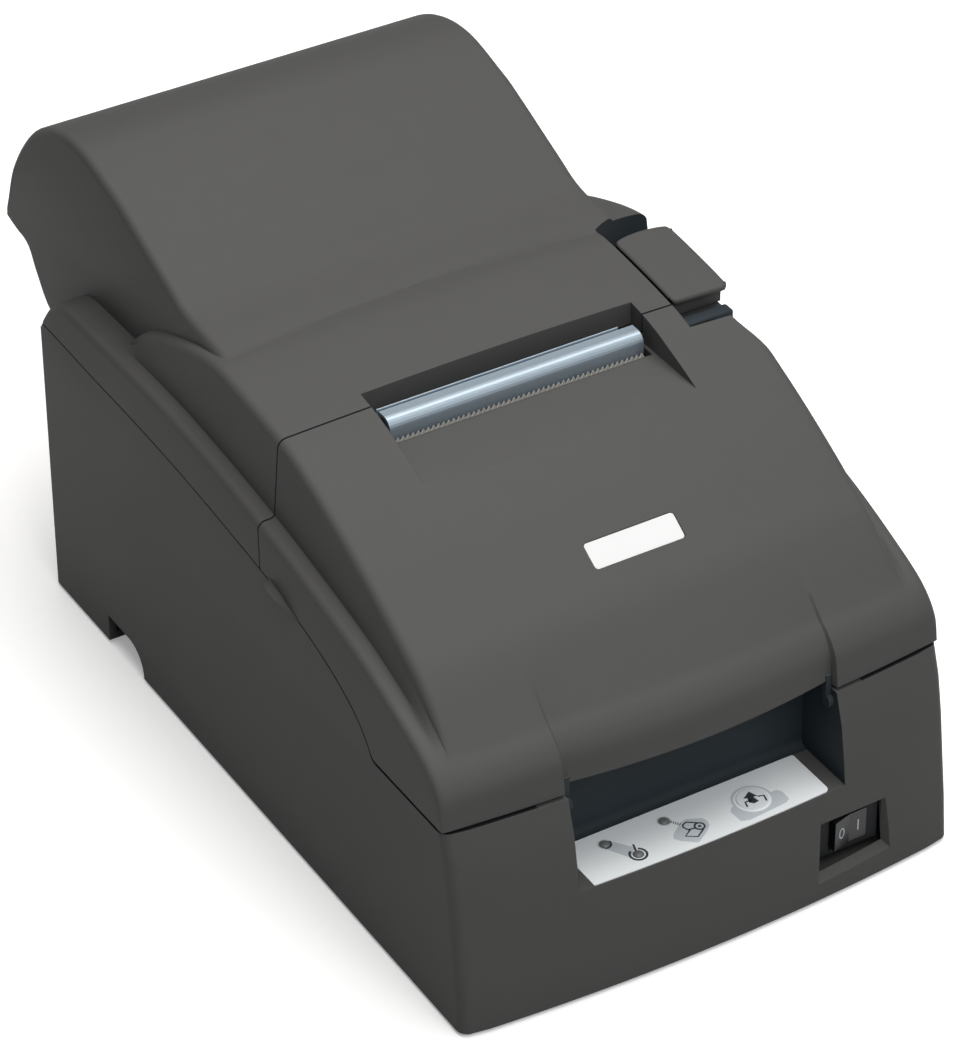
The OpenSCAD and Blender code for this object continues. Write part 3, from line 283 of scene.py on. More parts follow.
def finish(name, colour, roughness=0.5, metallic=0.0, grain=3500, bump=0.05, cloud=0.1,
           spread_by=0.15, dust=0.0, rolled=False, edge=0.0004, **sockets):
    """A material with one of the two grains, dust where it is asked for, and soft edges."""
    made = bpy.data.materials.new(name)
    made.use_nodes = True
    tree = made.node_tree
    shader = tree.nodes["Principled BSDF"]
    group = tree.nodes.new("ShaderNodeGroup")
    group.node_tree = rolled_tree if rolled else grain_tree
    if not rolled:
        group.inputs["Scale"].default_value = grain
    group.inputs["Roughness"].default_value = roughness
    group.inputs["Spread"].default_value = spread_by
    group.inputs["Cloud"].default_value = cloud
    tint = tree.nodes.new("ShaderNodeMix")
    tint.data_type = "RGBA"
    tint.blend_type = "MULTIPLY"
    tint.inputs["Factor"].default_value = 1.0
    tint.inputs["A"].default_value = (*colour, 1)
    tree.links.new(group.outputs["Tone"], tint.inputs["B"])
    base = tint.outputs["Result"]
    if dust:
        settled = tree.nodes.new("ShaderNodeGroup")
        settled.node_tree = dust_tree
        settled.inputs["Amount"].default_value = dust
        over = tree.nodes.new("ShaderNodeMix")
        over.data_type = "RGBA"
        over.inputs["B"].default_value = (*dust_grey, 1)
        tree.links.new(settled.outputs["Mask"], over.inputs["Factor"])
        tree.links.new(base, over.inputs["A"])
        base = over.outputs["Result"]
    tree.links.new(base, shader.inputs["Base Color"])
    tree.links.new(group.outputs["Roughness"], shader.inputs["Roughness"])
    shader.inputs["Metallic"].default_value = metallic
    relief = tree.nodes.new("ShaderNodeBump")
    relief.inputs["Strength"].default_value = bump
    relief.inputs["Distance"].default_value = grain_depth
    tree.links.new(group.outputs["Height"], relief.inputs["Height"])
    if edge:
        rounding = tree.nodes.new("ShaderNodeBevel")
        rounding.samples = 4
        rounding.inputs["Radius"].default_value = edge
        tree.links.new(rounding.outputs["Normal"], relief.inputs["Normal"])
    tree.links.new(relief.outputs["Normal"], shader.inputs["Normal"])
    for label, value in sockets.items():
        shader.inputs[label.replace("_", " ")].default_value = value
    return made

case_plastic = finish("case_plastic", (0.0785, 0.0785, 0.0770), 0.6, bump=0.35, cloud=0.06,
                      dust=0.02, edge=0.0003, Specular_IOR_Level=0.22)
# painted shade: a darker, cooler tone of the case plastic for faces in hollows where light can't
# reach
recess_plastic = finish("recess_plastic", (0.025, 0.034, 0.041), 0.6, bump=0.3, cloud=0.06,
                        Specular_IOR_Level=0.2)
print("two tones of case plastic are ready")

# %% Mix one finish for each kind of part
finishes = {
    "case_plastic": case_plastic,
    "cover_plastic": case_plastic,
    "rubber": finish("foot_rubber", (0.02, 0.02, 0.021), 0.85, grain=900, bump=0.3, cloud=0.3),
    "label_silver": finish("silver_film", (0.92, 0.96, 0.98), 0.4, grain=6000, bump=0.06,
                           cloud=0.03, edge=0.0001),
    "badge_pale": finish("badge_pale", (0.80, 0.81, 0.81), 0.35, grain=5000, bump=0.04,
                         cloud=0.03, edge=0.0002),
    "lens_grey": finish("smoked_lens", (0.17, 0.18, 0.18), 0.28, grain=2500, cloud=0.2),
    "button_grey": finish("button_film", (0.84, 0.88, 0.91), 0.4, grain=6000, bump=0.06,
                          cloud=0.03),
    "board_green": finish("solder_mask", (0.02, 0.13, 0.05), 0.35, grain=1400, bump=0.15,
                          cloud=0.25),
    "black_plastic": finish("black_moulding", (0.010, 0.011, 0.013), 0.55, bump=0.3, cloud=0.2,
                            Specular_IOR_Level=0.2),
    "rocker_black": finish("rocker_black", (0.016, 0.017, 0.02), 0.25, grain=5000, bump=0.08,
                           edge=0.0003),
    "tray_plastic": finish("tray_plastic", (0.055, 0.058, 0.062), bump=0.3, cloud=0.15, dust=0.05),
    "sheet_steel": finish("zinc_sheet", (0.50, 0.51, 0.50), 0.34, 1.0, rolled=True, cloud=0.3,
                          spread_by=0.3, bump=0.1),
    "bright_steel": finish("turned_steel", (0.72, 0.72, 0.71), 0.2, 1.0, rolled=True, bump=0.06,
                           edge=0.0002),
    "guide_steel": finish("guide_steel", (0.38, 0.455, 0.52), 0.42, 0.7, rolled=True, cloud=0.06,
                          spread_by=0.1, edge=0.0002),
    "motor_steel": finish("motor_can", (0.22, 0.22, 0.23), 0.4, 0.7, rolled=True, cloud=0.2,
                          bump=0.1),
    "platen_black": finish("platen_black", (0.02, 0.02, 0.022), 0.6, grain=2000, bump=0.3,
                           cloud=0.2),
    "roller_rubber": finish("roller_rubber", (0.03, 0.03, 0.032), 0.75, grain=1800, bump=0.35,
                            cloud=0.25),
    "gear_plastic": finish("acetal", (0.74, 0.71, 0.63), 0.42, bump=0.1, cloud=0.06, edge=0.0002),
    "pinion_brass": finish("turned_brass", (0.72, 0.53, 0.24), 0.28, 1.0, rolled=True, bump=0.08,
                           edge=0.0002),
    "head_alloy": finish("cast_alloy", (0.42, 0.43, 0.44), 0.45, 0.9, grain=1500, bump=0.3,
                         cloud=0.2),
    "cassette_plastic": finish("cassette_plastic", (0.028, 0.032, 0.038), 0.45, bump=0.3,
                               cloud=0.12),
    "ribbon_fabric": finish("inked_ribbon", (0.008, 0.008, 0.012), 0.75, grain=5200, bump=0.6,
                            cloud=0.3),
    "knob_blue": finish("knob_blue", (0.03, 0.14, 0.42), 0.4, bump=0.15, cloud=0.08),
}
print("finishes:", len(finishes))

# %% Dress the solids
slot_of = {part["node"]: part["material_slot"] for part in frame["record"]["subparts"]}
for node, slot_name in slot_of.items():
    solid = bpy.data.objects[node]
    for place in solid.material_slots:
        place.material = finishes[slot_name]
print("solids dressed:", len(slot_of))

# %% [markdown]
# ## Curves that the shells follow
# The printer's lid is one long curve seen from the side: a steep nose, a rising hood
# and a hump over the take-up spool, with a lower shoulder band down each side. Each
# curve is a handful of measured points with a smooth spline through them, so the same
# rule gives as many sections as the surface needs.

# %% Write the rules for curves
def clamp(share):
    """Keeps a share between nothing and the whole."""
    return max(0, min(1, share))

def sin_deg(angle):
    return math.sin(math.radians(angle))

def cos_deg(angle):
    return math.cos(math.radians(angle))

def through(keys, steps):
    """A smooth line through the keys, with some points between each two."""
    line = []
    for i in range(len(keys) - 1):
        a, b, c, d = (keys[max(0, min(len(keys) - 1, i + k))] for k in (-1, 0, 1, 2))
        for s in range(steps):
            t = s / steps
            line.append(tuple(
                0.5 * (2 * q + (r - p) * t + (2 * p - 5 * q + 4 * r - w) * t * t
                       + (3 * q - p - 3 * r + w) * t ** 3)
                for p, q, r, w in zip(a, b, c, d)))
    return line + [tuple(keys[-1])]

def height_on(line, y):
    """The second value of a line at y, held level beyond its ends."""
    ys = [p[0] for p in line]
    i = max(1, min(len(line) - 1, bisect_right(ys, y)))
    (y0, z0), (y1, z1) = line[i - 1], line[i]
    return z0 + (z1 - z0) * clamp((y - y0) / (y1 - y0))

print("half way between two keys:", through([(0, 0), (2, 4)], 2)[1])

# %% Draw the side curves
seam_keys = [
    (-95, 63.4), (-92.6, 63.6), (-90.9, 64.8), (-88.5, 68.3), (-81.9, 73.9), (-72.4, 78.7),
    (-60.7, 82.7), (-47, 85.9), (-31.6, 88.9), (6.3, 92.7), (38.3, 94.5), (65.3, 94.9),
    (97.7, 95.7), (101.5, 94.6), (104, 92.5), (105, 89.5), (106, 80)]
band_keys = [
    (-128.3, 63.5), (-127.9, 67), (-126.2, 74), (-120, 80.4), (-107.1, 86.4), (-84.6, 94.4),
    (-59.4, 100), (-32.4, 104.8), (0.2, 108.6), (26.7, 110.2), (54.1, 110), (80.6, 109.6),
    (89, 108.3), (94.9, 104.9), (100.4, 98), (101.6, 95)]
hood_keys = [
    (-128.3, 63.5), (-127.9, 67), (-126.2, 74), (-120, 80.4), (-104.7, 95), (-93, 102.4),
    (-77.3, 111), (-62, 118.4), (-46.6, 124.8), (-31.6, 129.3), (-4, 132.5), (8, 132.4),
    (21, 129.8), (38.6, 123.7), (49, 118.5), (55, 113.5), (58, 109.9)]
hump_keys = [
    (-10, 128), (8, 133.6), (28, 136), (39.4, 140.5), (62.4, 150.3), (71.3, 153.3),
    (89.4, 157.5), (104.9, 155.7), (118.8, 149.1), (129.6, 138.6), (137.5, 127), (141.6, 115),
    (143, 109.5), (142.3, 107), (136.2, 104.7), (130.5, 102.9), (126.6, 96.8), (119.9, 88.1),
    (110, 83)]
band_line = through(band_keys, 8)
hood_line = through(hood_keys, 8)
hump_line = through(hump_keys, 5)
seam_line = [(-150, 63.4)] + through(seam_keys, 5)
print("points on the hood", len(hood_line), "and on the hump", len(hump_line))

# %% Name the sizes that the shells share
cover_half, hood_half, recess_half = 79.3, 72.3, 43.0   # half widths
hood_round, band_round = 2.6, 2.4                       # round edges of hood, hump and band
wall_foot, foot_width, foot_rise = 74.1, 1.5, 0.7       # the soft foot of the hood's wall
nose_y, split_y, hood_end, tail_y = -128.3, -31.6, 58, 101.6
gap, seam_gap, wall = 0.5, 0.85, 2.5
bow_by = 1422                                           # x squared over this is the bow
front_pin, lever_pin, rear_pin = (-129.5, 59.5), (-6.6, 117), (100.3, 92.5)   # y and z
hump_left, hump_right = -69, 61.5
print("the two covers meet", split_y, "mm from the origin, with a gap of", gap, "mm")

# %% Work out the heights of the covers
def band_z(y):
    return height_on(band_line, y)

def hood_z(y):
    return band_z(y) if y > hood_end else max(height_on(hood_line, y), band_z(y))

def crown(x, y):
    """The hood is a little higher in its middle."""
    return 1.7 * (1 - (x / hood_half) ** 2) * clamp((hood_end - y) / 10)

def edge_drop(a, half, r):
    """The share of its radius r by which an edge that ends at half has dropped at a."""
    t = (a - half + r) / r if a > half - r else 0
    return 1 - math.sqrt(max(0, 1 - min(1, t) ** 2))

def cover_top(x, y):
    """Height of the covers above the table, from the hood across its wall to the band."""
    a, hood, band = abs(x), hood_z(y) + crown(x, y), band_z(y)
    rise = clamp((hood - band) / 5)
    if a <= hood_half:
        return hood - hood_round * rise * edge_drop(a, hood_half, hood_round)
    if a <= wall_foot:
        top, foot = hood - hood_round * rise, band + foot_rise * rise
        return top + (foot - top) * (a - hood_half) / (wall_foot - hood_half)
    if a <= wall_foot + foot_width:
        return band + foot_rise * rise * (1 - (a - wall_foot) / foot_width) ** 2
    return band - band_round * edge_drop(a, cover_half, band_round)

def bow(x, y):
    """The nose bows forwards like the case below it, and the back doesn't."""
    return -(cover_half ** 2 - x * x) / bow_by * clamp((split_y + 8 - y) / 50)

def dent(x, y, z):
    """The nose above the panel is drawn back a little towards the panel's ends."""
    if y > -80 or abs(x) > recess_half:
        return 0
    return 2.4 * (x / recess_half) ** 2 * clamp((94 - z) / 28)

print("top of the hood", round(hood_z(-4), 1), "mm, shoulder beside it", round(band_z(-4), 1), "mm")

# %% [markdown]
# ## Tools for shells
# A shell is a loft: rings of points stitched with quads and closed at both ends. The
# openings are then cut with the Manifold boolean, which is fast and keeps the result
# watertight. Most of the cutting shapes are prisms drawn in the side view or seen from
# above, because those are the directions in which the moulds for such covers part.

# %% Make lofts, prisms and blocks
MM = 0.001

def metres(points):
    return [(x * MM, y * MM, z * MM) for x, y, z in points]

def clean(mesh):
    """Merges points that coincide and turns the faces outwards."""
    work = bmesh.new()
    work.from_mesh(mesh)
    bmesh.ops.remove_doubles(work, verts=work.verts, dist=1e-7)
    bmesh.ops.recalc_face_normals(work, faces=work.faces)
    work.to_mesh(mesh)
    work.free()

def new_piece(name, points, faces):
    mesh = bpy.data.meshes.new(name)
    mesh.from_pydata(metres(points), [], faces)
    clean(mesh)
    return add_object(name, mesh)

def loft(name, rings):
    n = len(rings[0])
    last = (len(rings) - 1) * n
    faces = [tuple(range(n - 1, -1, -1)), tuple(last + i for i in range(n))]
    for j in range(len(rings) - 1):
        for i in range(n):
            k = (i + 1) % n
            faces.append((j * n + i, j * n + k, (j + 1) * n + k, (j + 1) * n + i))
    return new_piece(name, [p for ring in rings for p in ring], faces)

def prism(outline, x0, x1):
    """A solid with one outline in the side view, from x0 to x1."""
    return loft("tool", [[(x, y, z) for y, z in outline] for x in (x0, x1)])

def upright(outline, z0, z1):
    """A solid with one outline seen from above, from z0 to z1."""
    return loft("tool", [[(x, y, z) for x, y in outline] for z in (z0, z1)])

def block(a, b):
    return upright([(a[0], a[1]), (b[0], a[1]), (b[0], b[1]), (a[0], b[1])], a[2], b[2])

print("a loft, a prism, an upright and a block can be made")

# %% Make round outlines and slopes
quarter_turn = range(0, 91, 15)

def on_circle(centre, radius, angle):
    return centre[0] + radius * math.cos(angle), centre[1] + radius * math.sin(angle)

def ring_of(centre, radius, count=40):
    return [on_circle(centre, radius, math.tau * i / count) for i in range(count)]

def bar(at, dia, x0, x1):
    """A round bar along X."""
    return prism(ring_of(at, dia / 2), x0, x1)

def round_corner(centre, r, start):
    """A quarter of a circle, from an angle in degrees."""
    return [on_circle(centre, r, math.radians(start + a)) for a in quarter_turn]

def rounded_sheet(w, h, r):
    """The outline of a rectangle with round corners."""
    outline = []
    for sx, sy, start in ((1, 1, 0), (-1, 1, 90), (-1, -1, 180), (1, -1, 270)):
        outline += round_corner((sx * (w / 2 - r), sy * (h / 2 - r)), r, start)
    return outline

def tilted(outline, place, lean, depth):
    """A solid that stands square on a slope, drawn in the slope's own plane."""
    turn = Matrix.Rotation(math.radians(lean), 3, "X")
    return loft("tool", [[tuple(Vector(place) + turn @ Vector((x, y, h))) for x, y in outline]
                         for h in (0, depth)])

def soft_block(a, b, r):
    """A block with every edge rounded by r."""
    piece = block(a, b)
    work = bmesh.new()
    work.from_mesh(piece.data)
    bmesh.ops.bevel(work, geom=work.edges[:], offset=r * MM, segments=3, profile=0.5,
                    affect="EDGES")
    work.to_mesh(piece.data)
    work.free()
    return piece

print("a ring has", len(ring_of((0, 0), 1)), "points")

# %% Cut and join with booleans
def settle(piece):
    """Applies every modifier, so that only a plain mesh is left."""
    finished = piece.evaluated_get(bpy.context.evaluated_depsgraph_get())
    shape, old = bpy.data.meshes.new_from_object(finished), piece.data
    piece.modifiers.clear()
    piece.data = shape
    bpy.data.meshes.remove(old)

def carve(piece, tools, way="DIFFERENCE"):
    for tool in tools:
        step = piece.modifiers.new(way, "BOOLEAN")
        step.operation, step.solver, step.object = way, "MANIFOLD", tool
    settle(piece)
    for tool in tools:
        bpy.data.objects.remove(tool)
    return piece

def seam_prism(lift, above=False):
    """All that is below the seam, or above it, with the seam lifted."""
    line = [(y, z + lift) for y, z in seam_line]
    far = [(150, 80), (150, 220), (-150, 220)] if above else [(106, -5), (-150, -5)]
    return prism(line + far, -90, 90)

print("shell tools are ready")

# %% [markdown]
# ## The two covers
# Both covers come from one rule. A grid of sections runs from the nose to the back, and
# each section has extra points where the form turns quickly: over the round edge of the
# hood, at the foot of its wall and at the edge of the band. The grid is closed below
# and then hollowed with a second, smaller form.

# %% Choose columns and rows
edge_angles = (0, 20, 40, 58, 75, 90)

def cover_columns():
    half = [3 * i for i in range(14)]
    half += [41.3, 42.3, 43, 43.6, 45, 48, 51, 54, 57, 60, 63, 66, 68.5]
    half += [hood_half - hood_round + hood_round * sin_deg(a) for a in edge_angles]
    half += [72.8, 73.5, wall_foot, 74.5, 75, 75.6, 76.4]
    half += [cover_half - band_round + band_round * sin_deg(a) for a in edge_angles]
    return [-x for x in reversed(half[1:])] + half

def cover_rows(y0, y1):
    rows = sorted({round(p[0], 3) for p in band_line + hood_line if y0 < p[0] < y1} | {y0, y1})
    kept = [rows[0]]
    for y in rows[1:-1]:
        nearest = 0.07 if y < -120 else 0.8
        if y - kept[-1] > nearest and y1 - y > 0.4:
            kept.append(y)
    return kept + [rows[-1]]

print("sections across", len(cover_columns()), "columns")

# %% Stitch a cover
def cover_blank(name, y0, y1):
    """A solid cover with a flat underside, well below the seam."""
    xs, ys = cover_columns(), cover_rows(y0, y1)
    points, faces = [], []
    for y in ys:
        for x in xs:
            z = cover_top(x, y)
            points.append((x, y + bow(x, y) + dent(x, y, z), z))
    n, m = len(xs), len(ys)
    for j in range(m - 1):
        for i in range(n - 1):
            faces.append((j * n + i, j * n + i + 1, (j + 1) * n + i + 1, (j + 1) * n + i))
    rim = list(range(n)) + [j * n + n - 1 for j in range(1, m)]
    rim += [(m - 1) * n + i for i in range(n - 2, -1, -1)] + [j * n for j in range(m - 2, 0, -1)]
    low = len(points)
    for k in rim:
        points.append((*points[k][:2], 58))
    for a in range(len(rim)):
        b = (a + 1) % len(rim)
        faces.append((rim[a], rim[b], low + b, low + a))
    faces.append(tuple(range(low, low + len(rim))))
    return new_piece(name, points, faces)

def cover_hollow(rows):
    """The room inside a cover: a wide low form and a narrow high one, joined."""
    forms = []
    for half, level in ((cover_half - wall, band_z), (hood_half - wall, hood_z)):
        roof = [(y, min(level(y - wall), level(y + wall)) - wall) for y in rows]
        forms.append(prism(roof + [(rows[-1], 50), (rows[0], 50)], -half, half))
    return carve(forms[0], [forms[1]], "UNION")

print("rows of the front cover:", len(cover_rows(nose_y, split_y)))

# %% Mould the front cover
front_cover = cover_blank("front_cover_shell", nose_y, split_y - gap / 2)
front_rows = [-124.6, -123, -121, -118, -114] + [-110 + 4 * i for i in range(20)] + [split_y + 2]
hollow = carve(cover_hollow(front_rows), [
    block((-46, split_y - 30, 119.1), (46, 10, 150)),
    block((44.5, split_y - 12.5, 116), (70.8, 10, 150)),
    block((63.5, -60, 104), (70.8, 10, 150)),
])
pocket_corner = [
    (67.1, -41.2), (67.7, -43.6), (68.6, -46.2), (69.6, -49), (70.6, -51.7), (71.6, -54.1),
    (72.8, -56.4), (74.6, -58.6), (90, -58.6), (90, -41.2)]
front_cover = carve(front_cover, [
    hollow,
    tilted(rounded_sheet(28.8, 8.3, 1.1), (2, -92.5, 104.6), 32, 6),
    seam_prism(seam_gap),
    block((-recess_half, -150, 50), (recess_half, -120.5, 66)),
    block((-43.5, -72, 121.3), (43.5, 0, 150)),
    block((-42.5, -39.2, 90), (42.5, 0, 150)),
    block((53.5, -41.4, 118.5), (90, 0, 150)),
    upright(pocket_corner, 104.6, 150),
])
print("front cover:", len(front_cover.data.polygons), "faces")

# %% [markdown]
# ### Lugs, finger lips and a ledge
# The front cover swings on two lugs that reach down into the panel recess. On each side
# a narrow lip stands out just above the seam, where a fingertip lifts the cover. The
# lip is a loft of its own: its sections follow the seam and fade out at both ends.

# %% Add them to the front cover
lip_lift = 0.5
lip_keys = [(-36.3, 0.4), (-36.7, 1.5), (-37.6, 2.2), (-39.5, 2.5), (-42.5, 2.4), (-45.5, 1.9),
            (-48.5, 1.2), (-51, 0.6), (-52.5, 0.2)]

def finger_lip(side):
    """The lip of one side, from how far it stands out at each y."""
    rings = []
    for y, out in lip_keys:
        seam = height_on(seam_line, y)
        top, edge = seam + lip_lift + 0.42 * out, seam + lip_lift + 0.1 * out
        section = [
            (78.2, top), (cover_half, top), (cover_half + out, edge),
            (cover_half + out - 0.1, edge - 0.35), (79.22, seam + 0.1),
            (78.2, min(seam + 0.9, top - 0.06))]
        rings.append([(side * x, y, z) for x, z in section])
    return loft("tool", rings)

lugs = []
for s in (-1, 1):
    a, b = sorted((s * (recess_half - 1.9), s * (recess_half - 0.2)))
    neck = block((a, -129.6, front_pin[1]), (b, -127.6, 68))
    lug = carve(bar(front_pin, 3.9, a, b), [neck], "UNION")
    lugs.append(carve(lug, [bar(front_pin, 2.7, *sorted((s * (recess_half - 0.9), s * 60)))]))
    lugs.append(finger_lip(s))
lugs.append(soft_block((53.2, -37.2, 117), (71.2, -32.8, 125.3), 0.9))
front_cover = carve(front_cover, lugs, "UNION")
print("front cover with lugs:", len(front_cover.data.polygons), "faces")

# %% [markdown]
# ### The hump
# The hump has one side view all the way across, drawn in at both ends so that its
# edges are round. The rear cover is joined to it before both are hollowed, so that
# they share one wall.

# %% Mould the hump
tail_point, tail_reach = 60, 12

def inset(line, amount):
    """Moves a side outline inwards, less where it turns tightly at the tail."""
    moved = []
    for i, (y, z) in enumerate(line):
        (ya, za), (yb, zb) = line[max(i - 1, 0)], line[min(i + 1, len(line) - 1)]
        size = math.hypot(yb - ya, zb - za)
        near = min(1, max(0.2, abs(i - tail_point) / tail_reach))
        moved.append((y + amount * near * (zb - za) / size, z - amount * near * (yb - ya) / size))
    return moved

def rounded_run(x0, x1, radius):
    """Places along X and how far the outline is drawn in there, round at both ends."""
    left = [(x0 + radius * (1 - cos_deg(a)), radius * (1 - sin_deg(a)))
            for a in (0, 18, 36, 54, 72, 90)]
    return left + [(x1 - (x - x0), r) for x, r in reversed(left)]

run = rounded_run(hump_left, hump_right, hood_round)
hump = loft("hump", [[(x, y, z) for y, z in inset(hump_line, r)] for x, r in run])
inner_line = inset([p for p in hump_line[15:] if p[0] <= 134 or p[1] > 115], wall)
inner_foot = [(104, 80), (60, 60), (inner_line[0][0], 60)]
hump_hollow = prism(inner_line[::2] + inner_foot, hump_left + wall, hump_right - wall)
print("hump:", len(hump.data.polygons), "faces")

# %% Mould the rear cover
def arched_back(x, middle, rise):
    """The shallow arch that the lever and the opening round it have at the back."""
    return middle + rise * (1 - ((x - 65) / 11.9) ** 2)

rear_cover = carve(cover_blank("rear_cover_shell", split_y + gap / 2, tail_y), [hump], "UNION")
rear_rows = [split_y - 2] + [-28 + 5 * i for i in range(17)] + [56, 60, 80, 88, 93, 97.5, 99]
hollow = carve(cover_hollow(rear_rows), [hump_hollow], "UNION")
hollow = carve(hollow, [
    block((51.2, split_y - 5, 109.5), (70.8, 13.7, 150)),
    block((-46, split_y - 5, 124), (46, -24, 150)),
])
skirt = carve(seam_prism(seam_gap), [block((hump_left, 102, 0), (hump_right, 150, 120))])
well_opening = [(53.4, -60), (90, -60), (90, 7.8)]
well_opening += [(x, arched_back(x, 7.8, 3.4)) for x in (76.6 - 1.16 * i for i in range(21))]
rear_cover = carve(rear_cover, [
    hollow,
    skirt,
    block((70, 96.6, 90), (90, 110, 96)),
    block((-90, 96.6, 90), (-70, 110, 96)),
    block((-43.5, -60, 90), (43.5, -26.4, 150)),
    upright(well_opening, 112, 150),
    block((63.9, split_y - 1, 80), (69.3, -8, 130)),
    bar(lever_pin, 3, 47.7, 78.3),
])
print("rear cover:", len(rear_cover.data.polygons), "faces")

# %% Add the rear cover's ears and hangers
extras = [carve(block((69.2, -10.6, 111), (71.2, -2.6, 119.5)), [bar(lever_pin, 3, 50, 80)])]
ear_arm = [(98.8, 89.9), (101.8, 95.1), (92, 107.5), (84, 108.5)]
for s in (-1, 1):
    a, b = sorted((s * 70.6, s * 73.1))
    ear = carve(bar(rear_pin, 6, a, b), [prism(ear_arm, a, b)], "UNION")
    extras.append(carve(ear, [bar(rear_pin, 3.1, -90, 90)]))
extras += [block((x - 3, -20, 120), (x + 3, -10, 129)) for x in (-44, 44)]
rear_cover = carve(rear_cover, extras, "UNION")
print("rear cover with ears:", len(rear_cover.data.polygons), "faces")

# %% [markdown]
# ## The lower case
# The case is a slightly tapered box with soft corners and a front that bows outwards by
# a few millimetres. It is stacked from outlines seen from above, then the seam curve
# cuts its rim, and the recess for the panel, the switch opening, the cable notch and the
# seats of the hinges are cut from it.

# %% Stack the lower case
case_front = [(0, 0), (15, 1.3), (26.5, 2.8), (42, 4.7), (53.5, 6.7), (64, 9.9), (100, 20)]
levels = [1.2, 4, 8, 12, 15, 20, 26.5, 32, 37, 42, 48, 53.5, 59, 64, 80, 98]

def front_y(x, lean):
    """Where the bowed front of the case is, seen from above."""
    return -143 + lean + x * x / bow_by

def case_outline(z, t):
    """The case cut at one height, drawn in by a wall of t."""
    w = 80 - z / 96 - t
    r = max(3.4 - t, 0.8)
    lean = height_on(case_front, z)
    f, b = front_y(w, lean) + t, 105 - t

    outline = round_corner((-w + r, f + r), r, 180)
    outline += [(x, front_y(x, lean) + t) for x in range(-72, 73, 6)]
    outline += round_corner((w - r, f + r), r, 270)
    outline += round_corner((w - r, b - r), r, 0)
    outline += round_corner((-w + r, b - r), r, 90)
    return [(x, y, z) for x, y in outline]

lower_case = loft("lower_case_shell", [case_outline(z, 0) for z in levels])
panel_room = block((-45.5, -143, 32.5), (45.5, -114, 120))
hollow = carve(loft("tool", [case_outline(z, wall) for z in [3.7] + levels[2:]]), [panel_room])
print("case blank:", len(lower_case.data.polygons), "faces")

# %% Cut its openings
lamps = ((-26.8, -124.9), (-21.3, -133.1), (-7.9, -125.1))
lamp_r = 1.6
button = (17.7, -130)
rocker_at, rocker_z = (46, -133), 17
recess_back, panel_floor = -116.5, 35
foot_places = [(x, y) for y in (-118, 88) for x in (-62, 62)]

funnel = loft("tool", [
    [(rocker_at[0] + sx * w, y, rocker_z + sz * h)
     for sx, sz in ((-1, -1), (1, -1), (1, 1), (-1, 1))]
    for w, h, y in ((10.3, 7.1, -137.1), (12.2, 9.3, -140.1), (13.5, 10.8, -142.1))])
notch_line = [(45.5, -1), (67.8, -1), (67.8, 10.5)]
notch_line += [(54.5 - 9 * sin_deg(a), 1.5 + 9 * cos_deg(a)) for a in range(0, 91, 10)]
notch = prism(notch_line, -81, -69)
panel_holes = [upright(ring_of(p, lamp_r), 20, 40) for p in lamps]
panel_holes.append(upright(ring_of(button, 4.55), 20, 40))
foot_seats = [upright(ring_of(p, 6.6), 0.2, 2.4) for p in foot_places]
ear_seats = [bar(rear_pin, 6.8, *sorted((s * 70, s * 73.4))) for s in (-1, 1)]
lower_case = carve(lower_case, [
    seam_prism(0, above=True),
    hollow,
    block((-recess_half, -153, panel_floor), (recess_half, recess_back, 120)),
    block((35.7, -148, 9.9), (56.3, -131, 24.1)),
    funnel,
    notch,
    block((hump_left - 1, 95, 74.5), (hump_right + 1, 110, 120)),
    block((hump_right, 102.5, 92.7), (81, 110, 120)),
    block((-52, -153, 63.1), (52, -127.5, 70)),
    block((-46, 99, 8), (46, 106, 33)),
    bar(front_pin, 2.6, -49, 49),
] + panel_holes + foot_seats + ear_seats)
print("lower case:", len(lower_case.data.polygons), "faces")

# %% Add its posts and bosses
def pads(xs, ys, half, z0, z1):
    """A square post of the same size at every crossing of xs and ys."""
    hx, hy = half
    return [block((x - hx, y - hy, z0), (x + hx, y + hy, z1)) for x in xs for y in ys]

posts = pads((-52, 52), (-92, 0), (4, 4), 3, 8)
posts += [block((x - 2, -131, 27.6), (x + 2, -127, 33)) for x in (-34, 34)]
cove_y, cove_z, cove_r = -119.6, 34.98, 3.12   # the round foot of the wall behind the film
cove = [(cove_y + cove_r * sin_deg(a), cove_z + cove_r * (1 - cos_deg(a))) for a in quarter_turn]
cove = [(-116, 34.4), (cove_y, 34.4)] + cove + [(-116, cove_z + cove_r)]
posts.append(prism(cove, -recess_half - 0.5, recess_half + 0.5))
posts += pads((-35, 35), (20, 84), (3, 3), 3, 5)
posts += pads((-70, 70), (18, 92), (3, 3), 3, 84)
posts.append(block((-43, recess_back, 61.4), (43, -114, 71.4)))
posts += pads((0,), (-70, -45, -20), (40, 0.6), 3, 7.2)
for s in (-1, 1):
    a, b = sorted((s * 73.4, s * 77.2))
    posts.append(carve(block((a, 95.3, 84), (b, 104, 92)), [bar(rear_pin, 3, -90, 90)]))
lower_case = carve(lower_case, posts, "UNION")
print("lower case with posts:", len(lower_case.data.polygons), "faces")

# %% [markdown]
# ### Painted shade on one moulding
# Where light can't reach, plastic looks darker and cooler: inside the panel recess and
# in the well under the lever. Those faces take a second finish, which is painted shade,
# and so do the two faces where the covers meet. The thin rims that face each other
# across the seam take a third, near-black painted shadow, so that the seam reads as a
# dark line.

# %% Tell the faces that take painted shade from the rest
def case_hollow(x, y, z, facing):
    """Faces of the panel recess that take painted shade, without the strip of its floor in front of
    the cove.
    """
    recess = abs(x) < recess_half + 0.2 and -137.5 < y < -116 and z > 34.8
    return recess and not (facing.z > 0.9 and z < 35.5 and y < cove_y)

def front_hollow(x, y, z, facing):
    """Faces that take painted shade: the pocket in front of the lever, and the lugs in the panel
    recess.
    """
    pocket = 53 < x < 71 and -41.6 < y < -32 and 116 < z < 126
    return pocket or 40.8 < abs(x) < 43 and y < -126 and z < 66.2

